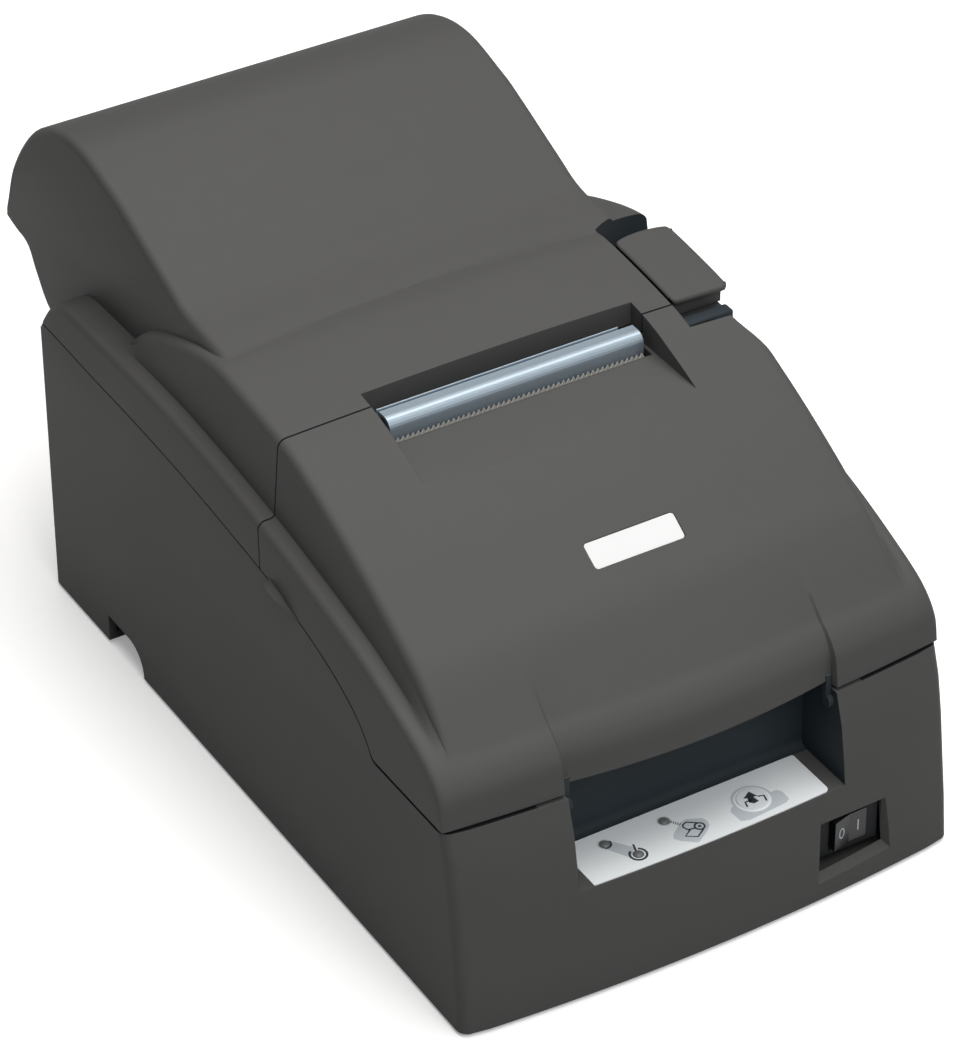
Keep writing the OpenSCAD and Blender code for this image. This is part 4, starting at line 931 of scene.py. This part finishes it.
def rear_hollow(x, y, z, facing):
    """Faces that take painted shade: the well under the lever, and the arched wall behind it."""
    well = 53 < x < 71 and split_y < y < 12 and 111 < z < 126
    return well or 53 < x < 73.6 and 2 < y < 13 and 111 < z < 133 and facing.y < -0.5

def at_joint(y, facing):
    """The two faces where the covers meet, which take painted shade."""
    return abs(y - split_y) < 0.3 and abs(facing.y) > 0.9

def at_rim(x, y, z, lift, up):
    """The seam's rim, which takes painted shadow: it faces up on the case, and down on the covers.
    """
    return abs(x) > 60 and abs(z - height_on(seam_line, y) - lift) < 0.2 and up > 0.4

print("the covers' rims are", seam_gap, "mm above the case's")

# %% Finish the shells
# slot 1 holds painted shade for hollows, slot 2 near-black painted shadow for the seam's rim
painted_shade_index, seam_shadow_index = 1, 2

def smooth(piece, sharp_from):
    """Smooth shading, broken where faces meet at more than some degrees."""
    piece.data.shade_smooth()
    piece.data.set_sharp_from_angle(angle=math.radians(sharp_from))

def wear(piece, material):
    """One finish for a whole piece."""
    piece.data.materials.clear()
    piece.data.materials.append(material)
    smooth(piece, 28)

def shade_hollows(shell, hollow, covers):
    """Paints shade on a shell: a darker finish on its hollows and joint, near black on the seam's
    rim.
    """
    shell.data.materials.append(recess_plastic)
    shell.data.materials.append(finishes["black_plastic"])
    lift, sign = (seam_gap, -1) if covers else (0, 1)
    inside = 0
    for face in shell.data.polygons:
        x, y, z = (v / MM for v in face.center)
        # the seam's rim takes near-black painted shadow; hollows and the covers' joint take painted
        # shade
        black = at_rim(x, y, z, lift, sign * face.normal.z)
        if black or hollow(x, y, z, face.normal) or covers and at_joint(y, face.normal):
            face.material_index = seam_shadow_index if black else painted_shade_index
            inside += 1
    print(shell.name, "faces in its hollows:", inside)

for shell, node, body, slot, hollow in (
        (lower_case, "lower_case", "base", "case_plastic", case_hollow),
        (front_cover, "front_cover", "front_cover", "cover_plastic", front_hollow),
        (rear_cover, "rear_cover", "rear_cover", "cover_plastic", rear_hollow)):
    wear(shell, finishes[slot])
    shade_hollows(shell, hollow, shell is not lower_case)
    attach(shell, body)
    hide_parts(node)
    print(shell.name, "stands for", node)

# %% Turn the short hinge pins
pins = []
for s in (-1, 1):
    a, b = sorted((s * (recess_half - 0.8), s * (recess_half + 5.5)))
    end = bar(front_pin, 2.2, *sorted((s * (recess_half + 5.3), s * (recess_half + 6))))
    pins.append(carve(bar(front_pin, 2.6, a, b), [end]))
pins = carve(pins[0], pins[1:], "UNION")
pins.name = "front_pins"
wear(pins, finishes["bright_steel"])
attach(pins, "base")
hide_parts("front_hinge_pins")
print("front pins:", len(pins.data.polygons), "faces")

# %% [markdown]
# ## The opening lever
# The lever that frees the rear cover is a plate with a thick, soft lip in front and an
# arched rear edge, over a set-back body. It is lofted across its width: every section
# is the plate's side view at that place, drawn in a little near the ends so that the
# rim rolls over. The body, the lug round its pin and the hook are joined on below.

# %% Draw the lever's sections
lever_left, lever_right, lever_front = 54.6, 73.4, -30.9
lever_corner, lever_round, lever_thick = 1.9, 0.9, 1.75

def lever_section(x, drawn_in):
    """The plate's side view at x, a closed line from its front over its top and back."""
    near = max(0, lever_corner - min(x - lever_left, lever_right - x))
    rounding = lever_corner - math.sqrt(lever_corner ** 2 - near ** 2)
    front = lever_front + max(rounding, drawn_in)
    back = arched_back(x, -0.6, 2.4) - max(rounding, drawn_in)
    start, end = front + lever_round, back - lever_round

    def top(y):
        return hood_z(y) + crown(x, y) - drawn_in

    def under(y):
        return top(y) + 2 * drawn_in - lever_thick

    ring = []
    for a in quarter_turn:
        y = front + lever_round * (1 - cos_deg(a))
        ring.append((y, top(y) - lever_round * (1 - sin_deg(a))))
    ring += [(y, top(y)) for y in (start + (end - start) * i / 26 for i in range(1, 26))]
    ring += [(end + lever_round * sin_deg(a), top(end) - lever_round * (1 - cos_deg(a)))
             for a in quarter_turn]
    ring += [(back, under(back) + 0.4), (back - 0.4, under(back))]
    below = [front + 2 + (back - 2.4 - front) * i / 8 for i in range(8, 0, -1)]
    ring += [(y, under(y)) for y in below]
    ring += [(front + 0.6, under(front)), (front + 0.15, under(front) + 0.2),
             (front, under(front) + 0.6)]
    return [(x, y, z) for y, z in ring]

ends = rounded_run(lever_left, lever_right, 1.2)
(flat_from, _), (flat_to, _) = ends[5:7]
between = [(flat_from + (flat_to - flat_from) * i / 12, 0) for i in range(1, 12)]
sections = [lever_section(x, d) for x, d in ends[:6] + between + ends[6:]]
lever = loft("open_lever_shell", sections)
print("lever sections:", len(sections))

# %% Join its body, lug and hook
body_line = [(-28.5, 129), (-28.5, 123.5), (-28.35, 123), (-28, 122.75), (-2.2, 125),
             (-1.5, 125.4), (-1.2, 126), (-1.2, 131.3)]
side_line = [(-24.1, 125), (-22.6, 115), (-3, 115), (-1.2, 122.6), (-1.2, 129), (-23.6, 128)]
hook_line = [(-3.6, 125.5), (-10.1, 115), (-16.2, 104), (-16.2, 81.6), (-11, 81.6),
             (-11.5, 78.5), (-19.5, 76.5), (-20.2, 79), (-20.2, 106), (-17, 124)]
lever = carve(lever, [
    prism(body_line, 55.2, 72.3),
    prism(side_line, 72.2, 73),
    bar(lever_pin, 8, 55, 69),
    block((55, -10.6, 117), (69, -2.6, 127)),
    prism(hook_line, 64.5, 68.7),
], "UNION")
lever = carve(lever, [bar(lever_pin, 3.1, 40, 90)])
wear(lever, finishes["cover_plastic"])
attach(lever, "open_lever")
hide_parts("open_lever")
print("lever:", len(lever.data.polygons), "faces")

# %% Close the well under the lever
stop = soft_block((53.2, -31.1, 111.6), (72.2, -25.2, 122.4), 0.35)
stop.name = "well_stop"
wear(stop, finishes["tray_plastic"])
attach(stop, "rear_cover")
print("stop in front of the well:", len(stop.data.polygons), "faces")

# %% [markdown]
# ## Guide plate and saw strip
# Behind the polished guide bar stands a thin second plate that stops short of the
# bar's right end. The saw strip that the paper is torn on is zinc grey and duller than
# the bar, so it gets a finish of its own.

# %% Fold the second plate
plate_line = [(-31.4, 119), (-30.7, 119), (-30.7, 127.9), (-30.95, 128.05), (-31.15, 127.9),
              (-31.15, 119.5), (-31.4, 119.5)]
second = prism(plate_line, -41.3, 36.2)
second.name = "exit_plate"
wear(second, finishes["guide_steel"])
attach(second, "rear_cover")
print("second plate:", len(second.data.polygons), "faces")

# %% Dull the saw strip
saw_finish = finish("saw_strip", (0.44, 0.43, 0.40), 0.5, 0.1, rolled=True, bump=0.06, edge=0.0001)
for place in bpy.data.objects["tear_blade"].material_slots:
    place.material = saw_finish
print("saw strip wears", saw_finish.name)

# %% [markdown]
# ## Prints on the panel and the switch
# The film on the panel is silver and lies just behind the edge of the case. It carries
# plain marks: a grey band between two lamps, a ring, a row of dots, a roll and an arrow.
# Ink on a film is a few hundredths of a millimetre thick, so each mark is a very thin
# plate on the film, cut with the same outline tools as the mouldings. The button
# carries its own arrow, because it moves.

# %% Mix the inks
def ink(name, colour, roughness, cloud):
    return finish(name, colour, roughness, grain=6000, bump=0.04, cloud=cloud, edge=0)

ink_pale = ink("ink_pale", (0.60, 0.65, 0.69), 0.42, 0.04)
ink_dark = ink("ink_dark", (0.035, 0.040, 0.048), 0.45, 0.08)
ink_white = ink("ink_white", (0.55, 0.60, 0.64), 0.4, 0.05)
ink_thick = 0.03
print("inks:", [m.name for m in (ink_pale, ink_dark, ink_white)])

# %% Write the tools for flat marks
def holed(outline, holes, z0, z1):
    """A plate with round holes, each given as a place and a radius."""
    drills = [upright(ring_of(p, r), z0 - 1, z1 + 1) for p, r in holes]
    return carve(upright(outline, z0, z1), drills)

def ring_plate(centre, outer, inner, z0, z1, start=0, end=360, count=48):
    """A flat ring, or a stretch of one."""
    whole = end - start >= 360
    steps = range(count if whole else count + 1)
    angles = [math.radians(start + (end - start) * i / count) for i in steps]
    outside, inside = ([on_circle(centre, r, a) for a in angles] for r in (outer, inner))
    if whole:
        return carve(upright(outside, z0, z1), [upright(inside, z0 - 1, z1 + 1)])
    return upright(outside + inside[::-1], z0, z1)

def stroke(points, width, z0, z1):
    """A line of some width through the points, with square corners."""
    left, right = [], []
    for i, p in enumerate(points):
        a, b = Vector(points[max(i - 1, 0)]), Vector(points[min(i + 1, len(points) - 1)])
        side = (b - a).normalized()
        side = Vector((-side.y, side.x)) * width / 2
        left.append(tuple(Vector(p) + side))
        right.append(tuple(Vector(p) - side))
    return upright(left + right[::-1], z0, z1)

def join(pieces, name):
    """Puts several meshes into one object."""
    work = bmesh.new()
    for piece in pieces:
        work.from_mesh(piece.data)
        bpy.data.objects.remove(piece)
    bmesh.ops.recalc_face_normals(work, faces=work.faces)
    mesh = bpy.data.meshes.new(name)
    work.to_mesh(mesh)
    work.free()
    return add_object(name, mesh)

def settle_mark(piece, material, body):
    wear(piece, material)
    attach(piece, body)
    print(piece.name, len(piece.data.polygons), "faces")

print("marks lie", ink_thick, "mm above what they are printed on")

# %% Lay the film
film_z = 35.3
film_edge = [(-38.2, -138.9), (-36, -139.2), (-24, -140.2), (-12, -140.8), (0, -141),
             (12, -140.9), (24, -140.5), (36.6, -139.8), (37.4, -137.5), (37.9, -136.9),
             (38.1, -136.2), (38.1, -120), (37.7, -119.6), (-37.7, -119.6), (-38.2, -120)]
film_edge = [(x, max(y, front_y(x, 3.8) + 0.45)) for x, y in film_edge]
film = holed(film_edge, [(p, lamp_r) for p in lamps] + [(button, 4.42)], panel_floor, film_z)
film.name = "panel_film"
wear(film, finishes["label_silver"])
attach(film, "base")
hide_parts("panel_label")
print("film:", len(film.data.polygons), "faces")

# %% Print the pale patches
ink_z = (film_z, film_z + ink_thick)
band_outline = [(-27.9, -126.2), (-25.1, -124.1), (-20.6, -130.2), (-23.9, -133.3)]
middle_outline = [
    (-9.7, -132.7), (-8.8, -131.2), (-4.4, -127.8), (-2.3, -127.5), (1.7, -129.4), (2.2, -131.2),
    (1.8, -132.9), (-0.2, -134.7), (-4.4, -137.4), (-5.2, -137.3), (-8.6, -134.4)]
button_outline = [
    (9.7, -131.4), (10.7, -130.0), (12.3, -129.5), (23.4, -129.9), (25.6, -130.0),
    (26.6, -131.4), (26.4, -135.0), (24.9, -135.9), (12.4, -136.9), (9.9, -136.0)]
band_patch = holed(band_outline, [(lamps[0], lamp_r)], *ink_z)
middle_patch = upright(middle_outline, *ink_z)
button_patch = holed(button_outline, [(button, 5.3)], *ink_z)
button_patch = carve(button_patch, [ring_plate(button, 6.0, 5.3, *ink_z)], "UNION")
eyelets = [ring_plate(lamp, 2.0, 1.62, *ink_z) for lamp in (lamps[0], lamps[2])]
pale_marks = join([band_patch, middle_patch, button_patch] + eyelets, "panel_patches")
settle_mark(pale_marks, ink_pale, "base")

# %% Print the dark marks
ink_z = (film_z + ink_thick, film_z + 2 * ink_thick)
roll_at = (-0.8, -131.9)
paper_line = [(-0.6, -130.4), (-3.0, -128.6), (-4.3, -129.0), (-4.9, -129.9), (-4.5, -131.2),
              (-3.9, -131.7)]
marks = [ring_plate(lamps[1], 2.7, 2.05, *ink_z, 120, 420),
         stroke([(-20.3, -128.9), (-21.1, -131.6)], 0.6, *ink_z)]
for i in range(5):
    x, y = -6.4 + 0.36 * i, -126.4 - 0.52 * i
    marks.append(stroke([(x - 0.4, y - 0.3), (x + 0.4, y + 0.3)], 0.26, *ink_z))
marks += [
    ring_plate(roll_at, 1.65, 1.1, *ink_z),
    ring_plate(roll_at, 0.5, 0.1, *ink_z),
    stroke(paper_line, 0.5, *ink_z),
    stroke([(-3.9, -131.9), (-6.4, -133.5), (-3.6, -135.4), (-0.6, -133.5)], 0.5, *ink_z),
    stroke([(-4.4, -131.6), (-2.4, -131.9)], 0.5, *ink_z),
]
settle_mark(join(marks, "panel_marks"), ink_dark, "base")

# %% Print the button's arrow
button_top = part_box("feed_button")[1][2] / MM
ink_z = (button_top, button_top + ink_thick)
arrow = [(18.9, -127.0), (15.9, -128.9), (17.0, -129.15), (16.4, -130.9), (17.4, -132.0),
         (19.1, -131.8), (18.7, -129.5), (20.0, -129.8)]
button_marks = [
    upright([(x - 0.4, y + 0.1) for x, y in arrow], *ink_z),
    stroke([(14.6, -132.2), (15.2, -130.2), (17.3, -130.3)], 0.55, *ink_z),
    stroke([(20.6, -132.7), (21.2, -130.4), (19.5, -129.9)], 0.55, *ink_z),
]
settle_mark(join(button_marks, "button_marks"), ink_dark, "feed_button")

# %% [markdown]
# ### The rocker's marks
# The rocker switch is pressed at one end, so its face is tilted by a few degrees and
# bent in the middle. Its two marks, a ring and a bar, are laid on that bent face
# point by point.

# %% Print the marks of the rocker
rocker_turn = math.radians(8)

def on_rocker(u, up, lift):
    """A place on the rocker's front: u along it, up from its middle, lifted off its face."""
    x, y = u, -3.9 + 0.7 * (1 - abs(u) / 5.85) - lift
    c, s = math.cos(rocker_turn), math.sin(rocker_turn)
    return rocker_at[0] + x * c - y * s, rocker_at[1] + x * s + y * c, rocker_z + up

def rocker_ring(middle, outer, inner, count=32):
    """An upright oval ring on the rocker's face, stitched from quads."""
    rims = []
    for (w, h), lift in ((outer, 0), (outer, ink_thick), (inner, ink_thick), (inner, 0)):
        turns = [math.tau * i / count for i in range(count)]
        rims.append([on_rocker(middle + w * math.cos(a), h * math.sin(a), lift) for a in turns])
    faces = []
    for j in range(4):
        for i in range(count):
            k, next_rim = (i + 1) % count, (j + 1) % 4
            faces.append((j * count + i, j * count + k, next_rim * count + k, next_rim * count + i))
    return new_piece("ring", [p for line in rims for p in line], faces)

bar_outline = [(2.8, -1.85), (3.25, -1.85), (3.25, 1.85), (2.8, 1.85)]
bar_rings = [[on_rocker(u, h, lift) for u, h in bar_outline] for lift in (0, ink_thick)]
bar_mark = loft("tool", bar_rings)
ring_mark = rocker_ring(-3.1, (1.15, 1.85), (0.72, 1.4))
settle_mark(join([ring_mark, bar_mark], "rocker_marks"), ink_white, "power_rocker")

# %% [markdown]
# ## Small things that repeat
# Pegs round a knob, pins in a socket, ribs under a lid and teeth on a belt are each one
# small shape, repeated. Geometry Nodes suit that: the tree names its sizes, and a
# change of one number changes the whole row. Each tree starts from a few loose points
# or lines that say where the rows go, ends by making the copies real, and is then
# baked to a plain mesh for the body that carries it. The sizes written in a tree are
# metres and only a start: each row that is grown gives its own, in millimetres.

# %% Write the helpers for node trees
def row_tree(name, sizes):
    """A Geometry Nodes tree with a named input for each size, and its two end nodes."""
    tree = bpy.data.node_groups.new(name, "GeometryNodeTree")
    sockets = tree.interface
    sockets.new_socket("Geometry", in_out="INPUT", socket_type="NodeSocketGeometry")
    for label, value in sizes:
        kind = "NodeSocketInt" if isinstance(value, int) else "NodeSocketFloat"
        sockets.new_socket(label, in_out="INPUT", socket_type=kind).default_value = value
    sockets.new_socket("Material", in_out="INPUT", socket_type="NodeSocketMaterial")
    sockets.new_socket("Geometry", in_out="OUTPUT", socket_type="NodeSocketGeometry")
    return tree, tree.nodes.new("NodeGroupInput"), tree.nodes.new("NodeGroupOutput")

def node_in(tree, kind, links, **values):
    """Adds a node, links (input, socket) pairs and sets plain values by input name."""
    node = tree.nodes.new(kind)
    for label, value in values.items():
        node.inputs[label.replace("_", " ")].default_value = value
    for label, socket in links:
        tree.links.new(socket, node.inputs[label])
    return node

def copies_on(tree, points, shape):
    return node_in(tree, "GeometryNodeInstanceOnPoints", [("Points", points), ("Instance", shape)])

def row_along_x(tree, count, spacing):
    """A line of points along X."""
    step = node_in(tree, "ShaderNodeCombineXYZ", [("X", spacing)])
    links = [("Count", count), ("Offset", step.outputs[0])]
    return node_in(tree, "GeometryNodeMeshLine", links).outputs[0]

def peg(tree, radius, height, taper, sides):
    """A small cone stump, its top taper times as wide as its foot."""
    top = node_in(tree, "ShaderNodeMath", [(0, radius)])
    top.operation = "MULTIPLY"
    top.inputs[1].default_value = taper
    links = [("Radius Bottom", radius), ("Radius Top", top.outputs[0]), ("Depth", height)]
    return node_in(tree, "GeometryNodeMeshCone", links, Vertices=sides).outputs[0]

def end_tree(tree, gin, gout, copies):
    """Makes the copies real and gives them their material."""
    real = node_in(tree, "GeometryNodeRealizeInstances", [("Geometry", copies.outputs[0])])
    links = [("Geometry", real.outputs[0]), ("Material", gin.outputs["Material"])]
    dressed = node_in(tree, "GeometryNodeSetMaterial", links)
    tree.links.new(dressed.outputs[0], gout.inputs[0])
    print("tree:", tree.name)

print("helpers for trees are ready")

# %% Bake a tree to a mesh
def grow(name, tree, points, lines, slot, body, **sizes):
    """Runs a tree on loose points or lines and hands the plain mesh to its body."""
    mesh = bpy.data.meshes.new(name)
    mesh.from_pydata(metres(points), lines, [])
    piece = add_object(name, mesh)
    step = piece.modifiers.new(name, "NODES")
    step.node_group = tree
    for item in tree.interface.items_tree:
        if item.in_out == "OUTPUT" or item.name == "Geometry":
            continue
        if item.name == "Material":
            step[item.identifier] = finishes[slot]
        else:
            value = sizes[item.name.replace(" ", "_")]
            step[item.identifier] = value if isinstance(value, int) else value * MM
    settle(piece)
    clean(piece.data)
    smooth(piece, 40)
    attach(piece, body)
    print(name, "has", len(piece.data.polygons), "faces")

print("a row is baked by grow()")

# %% [markdown]
# ### Ribs
# A moulded lid is only as thick as its plastic needs to cool evenly, so ribs inside
# keep it stiff. Each rib follows the roof of the lid: a line drawn along the roof
# carries a small rectangle as its section, and the rib is then repeated across. The
# same tree draws the finger grips on the ribbon cassette, from two short lines.

# %% Build the tree for ribs
ribs, gin, gout = row_tree("rib_row", [
    ("Count", 5), ("Spacing", 0.028), ("Thickness", 0.001), ("Depth", 0.002)])
size = gin.outputs
path = node_in(ribs, "GeometryNodeMeshToCurve", [("Mesh", size["Geometry"])])
level = node_in(ribs, "GeometryNodeSetCurveNormal", [("Curve", path.outputs[0])])
level.mode = "Z_UP"
section = node_in(ribs, "GeometryNodeCurvePrimitiveQuadrilateral", [
    ("Width", size["Thickness"]), ("Height", size["Depth"])])
rib = node_in(ribs, "GeometryNodeCurveToMesh", [
    ("Curve", level.outputs[0]), ("Profile Curve", section.outputs[0])], Fill_Caps=True)
places = row_along_x(ribs, size["Count"], size["Spacing"])
end_tree(ribs, gin, gout, copies_on(ribs, places, rib.outputs[0]))

# %% Grow the ribs and the cassette's grips
rib_depth, rib_bite, rib_steps = 2.0, 0.35, 22

def roof_line(x, y0, y1):
    """A line just under the roof of a cover, so that a rib on it bites into the roof."""
    line = []
    for i in range(rib_steps + 1):
        y = y0 + (y1 - y0) * i / rib_steps
        roof = min(hood_z(y - wall), hood_z(y + wall)) - wall
        line.append((x, y, roof - rib_depth / 2 + rib_bite))
    return line, [(i, i + 1) for i in range(rib_steps)]

for name, body, y0, y1, count in (("front_cover_ribs", "front_cover", -112, -62, 5),
                                  ("rear_cover_ribs", "rear_cover", -6, 24, 4)):
    points, lines = roof_line(-56, y0, y1)
    grow(name, ribs, points, lines, "cover_plastic", body,
         Count=count, Spacing=28.0, Thickness=1.1, Depth=rib_depth)
grips = [(x, y, 97.1) for x in (-57, 49) for y in (-61, -43)]
grow("cassette_grips", ribs, grips, [(0, 1), (2, 3)], "cassette_plastic", "base",
     Count=5, Spacing=2.0, Thickness=0.8, Depth=0.6)

# %% [markdown]
# ### Pegs, pins and teeth
# The knob has a ring of small pegs for the fingertip, the socket at the back has two
# rows of contacts, and the belt has moulded teeth on its straight runs. Each copy is a
# peg of a few faces, because nobody sees more of it than its outline.

# %% Grow pegs round a circle
pegs, gin, gout = row_tree("peg_ring", [
    ("Count", 28), ("Radius", 0.0063), ("Peg Radius", 0.0004), ("Peg Height", 0.001)])
size = gin.outputs
circle = node_in(pegs, "GeometryNodeMeshCircle", [
    ("Vertices", size["Count"]), ("Radius", size["Radius"])])
grip_peg = peg(pegs, size["Peg Radius"], size["Peg Height"], 0.7, 10)
one_ring = copies_on(pegs, circle.outputs[0], grip_peg)
end_tree(pegs, gin, gout, copies_on(pegs, size["Geometry"], one_ring.outputs[0]))
grow("knob_grip", pegs, [(-44, -76, 97.45)], [], "knob_blue", "ribbon_knob",
     Count=30, Radius=6.35, Peg_Radius=0.42, Peg_Height=1.15)

# %% Grow a field of contacts
field, gin, gout = row_tree("pin_field", [
    ("Columns", 13), ("Rows", 2), ("Width", 0.0264), ("Height", 0.003),
    ("Pin Radius", 0.0005), ("Pin Length", 0.003)])
size = gin.outputs
grid = node_in(field, "GeometryNodeMeshGrid", [
    ("Size X", size["Width"]), ("Size Y", size["Height"]),
    ("Vertices X", size["Columns"]), ("Vertices Y", size["Rows"])])
pin = peg(field, size["Pin Radius"], size["Pin Length"], 0.6, 10)
flat = copies_on(field, grid.outputs[0], pin)
turned = copies_on(field, size["Geometry"], flat.outputs[0])
turned.inputs["Rotation"].default_value = (math.radians(-90), 0, 0)
end_tree(field, gin, gout, turned)
grow("socket_contacts", field, [(-16.5, 100.9, 17.75)], [], "pinion_brass", "base",
     Columns=13, Rows=2, Width=27.6, Height=3.2, Pin_Radius=0.55, Pin_Length=3.4)

# %% Grow the belt's teeth
teeth, gin, gout = row_tree("tooth_row", [
    ("Count", 40), ("Pitch", 0.002), ("Tooth Radius", 0.0005), ("Tooth Height", 0.0034)])
size = gin.outputs
tooth = peg(teeth, size["Tooth Radius"], size["Tooth Height"], 1.0, 8)
row = copies_on(teeth, row_along_x(teeth, size["Count"], size["Pitch"]), tooth)
end_tree(teeth, gin, gout, copies_on(teeth, size["Geometry"], row.outputs[0]))
grow("belt_teeth", teeth, [(-41, -75.2, 57.3), (-41, -84.8, 57.3)], [], "black_plastic", "base",
     Count=42, Pitch=2.03, Tooth_Radius=0.45, Tooth_Height=3.4)

# %% [markdown]
# ### Screw heads and lamp lenses
# The four chassis screws are pan heads with a cross recess. A real recess would cost
# faces that nobody sees, so two crossed dark strips lie on each head instead. The three
# lamps of the panel are grey domes that stand a little proud of the film.

# %% Grow crosses on the screws
cross, gin, gout = row_tree("cross_on_points", [
    ("Length", 0.0032), ("Width", 0.0006), ("Depth", 0.0001)])
size = gin.outputs
both = cross.nodes.new("GeometryNodeJoinGeometry")
for first, second in (("Length", "Width"), ("Width", "Length")):
    sides = node_in(cross, "ShaderNodeCombineXYZ", [
        ("X", size[first]), ("Y", size[second]), ("Z", size["Depth"])])
    strip = node_in(cross, "GeometryNodeMeshCube", [("Size", sides.outputs[0])])
    cross.links.new(strip.outputs[0], both.inputs[0])
end_tree(cross, gin, gout, copies_on(cross, size["Geometry"], both.outputs[0]))
screw_heads = [(x, y, 11.32) for x in (-52, 52) for y in (-92, 0)]
grow("screw_crosses", cross, screw_heads, [], "black_plastic", "base",
     Length=3.4, Width=0.75, Depth=0.1)

# %% Grow domes on the lamps
domes, gin, gout = row_tree("dome_on_points", [("Radius", 0.0015)])
size = gin.outputs
ball = node_in(domes, "GeometryNodeMeshIcoSphere", [("Radius", size["Radius"])], Subdivisions=4)
flattened = copies_on(domes, size["Geometry"], ball.outputs[0])
flattened.inputs["Scale"].default_value = (1, 1, 0.5)
end_tree(domes, gin, gout, flattened)
grow("lamp_domes", domes, [(*p, film_z) for p in lamps], [], "lens_grey", "base", Radius=1.5)

# %% [markdown]
# ## The end
# The view layer is brought up to date at the end.

# %% Bring the scene up to date
bpy.context.view_layer.update()
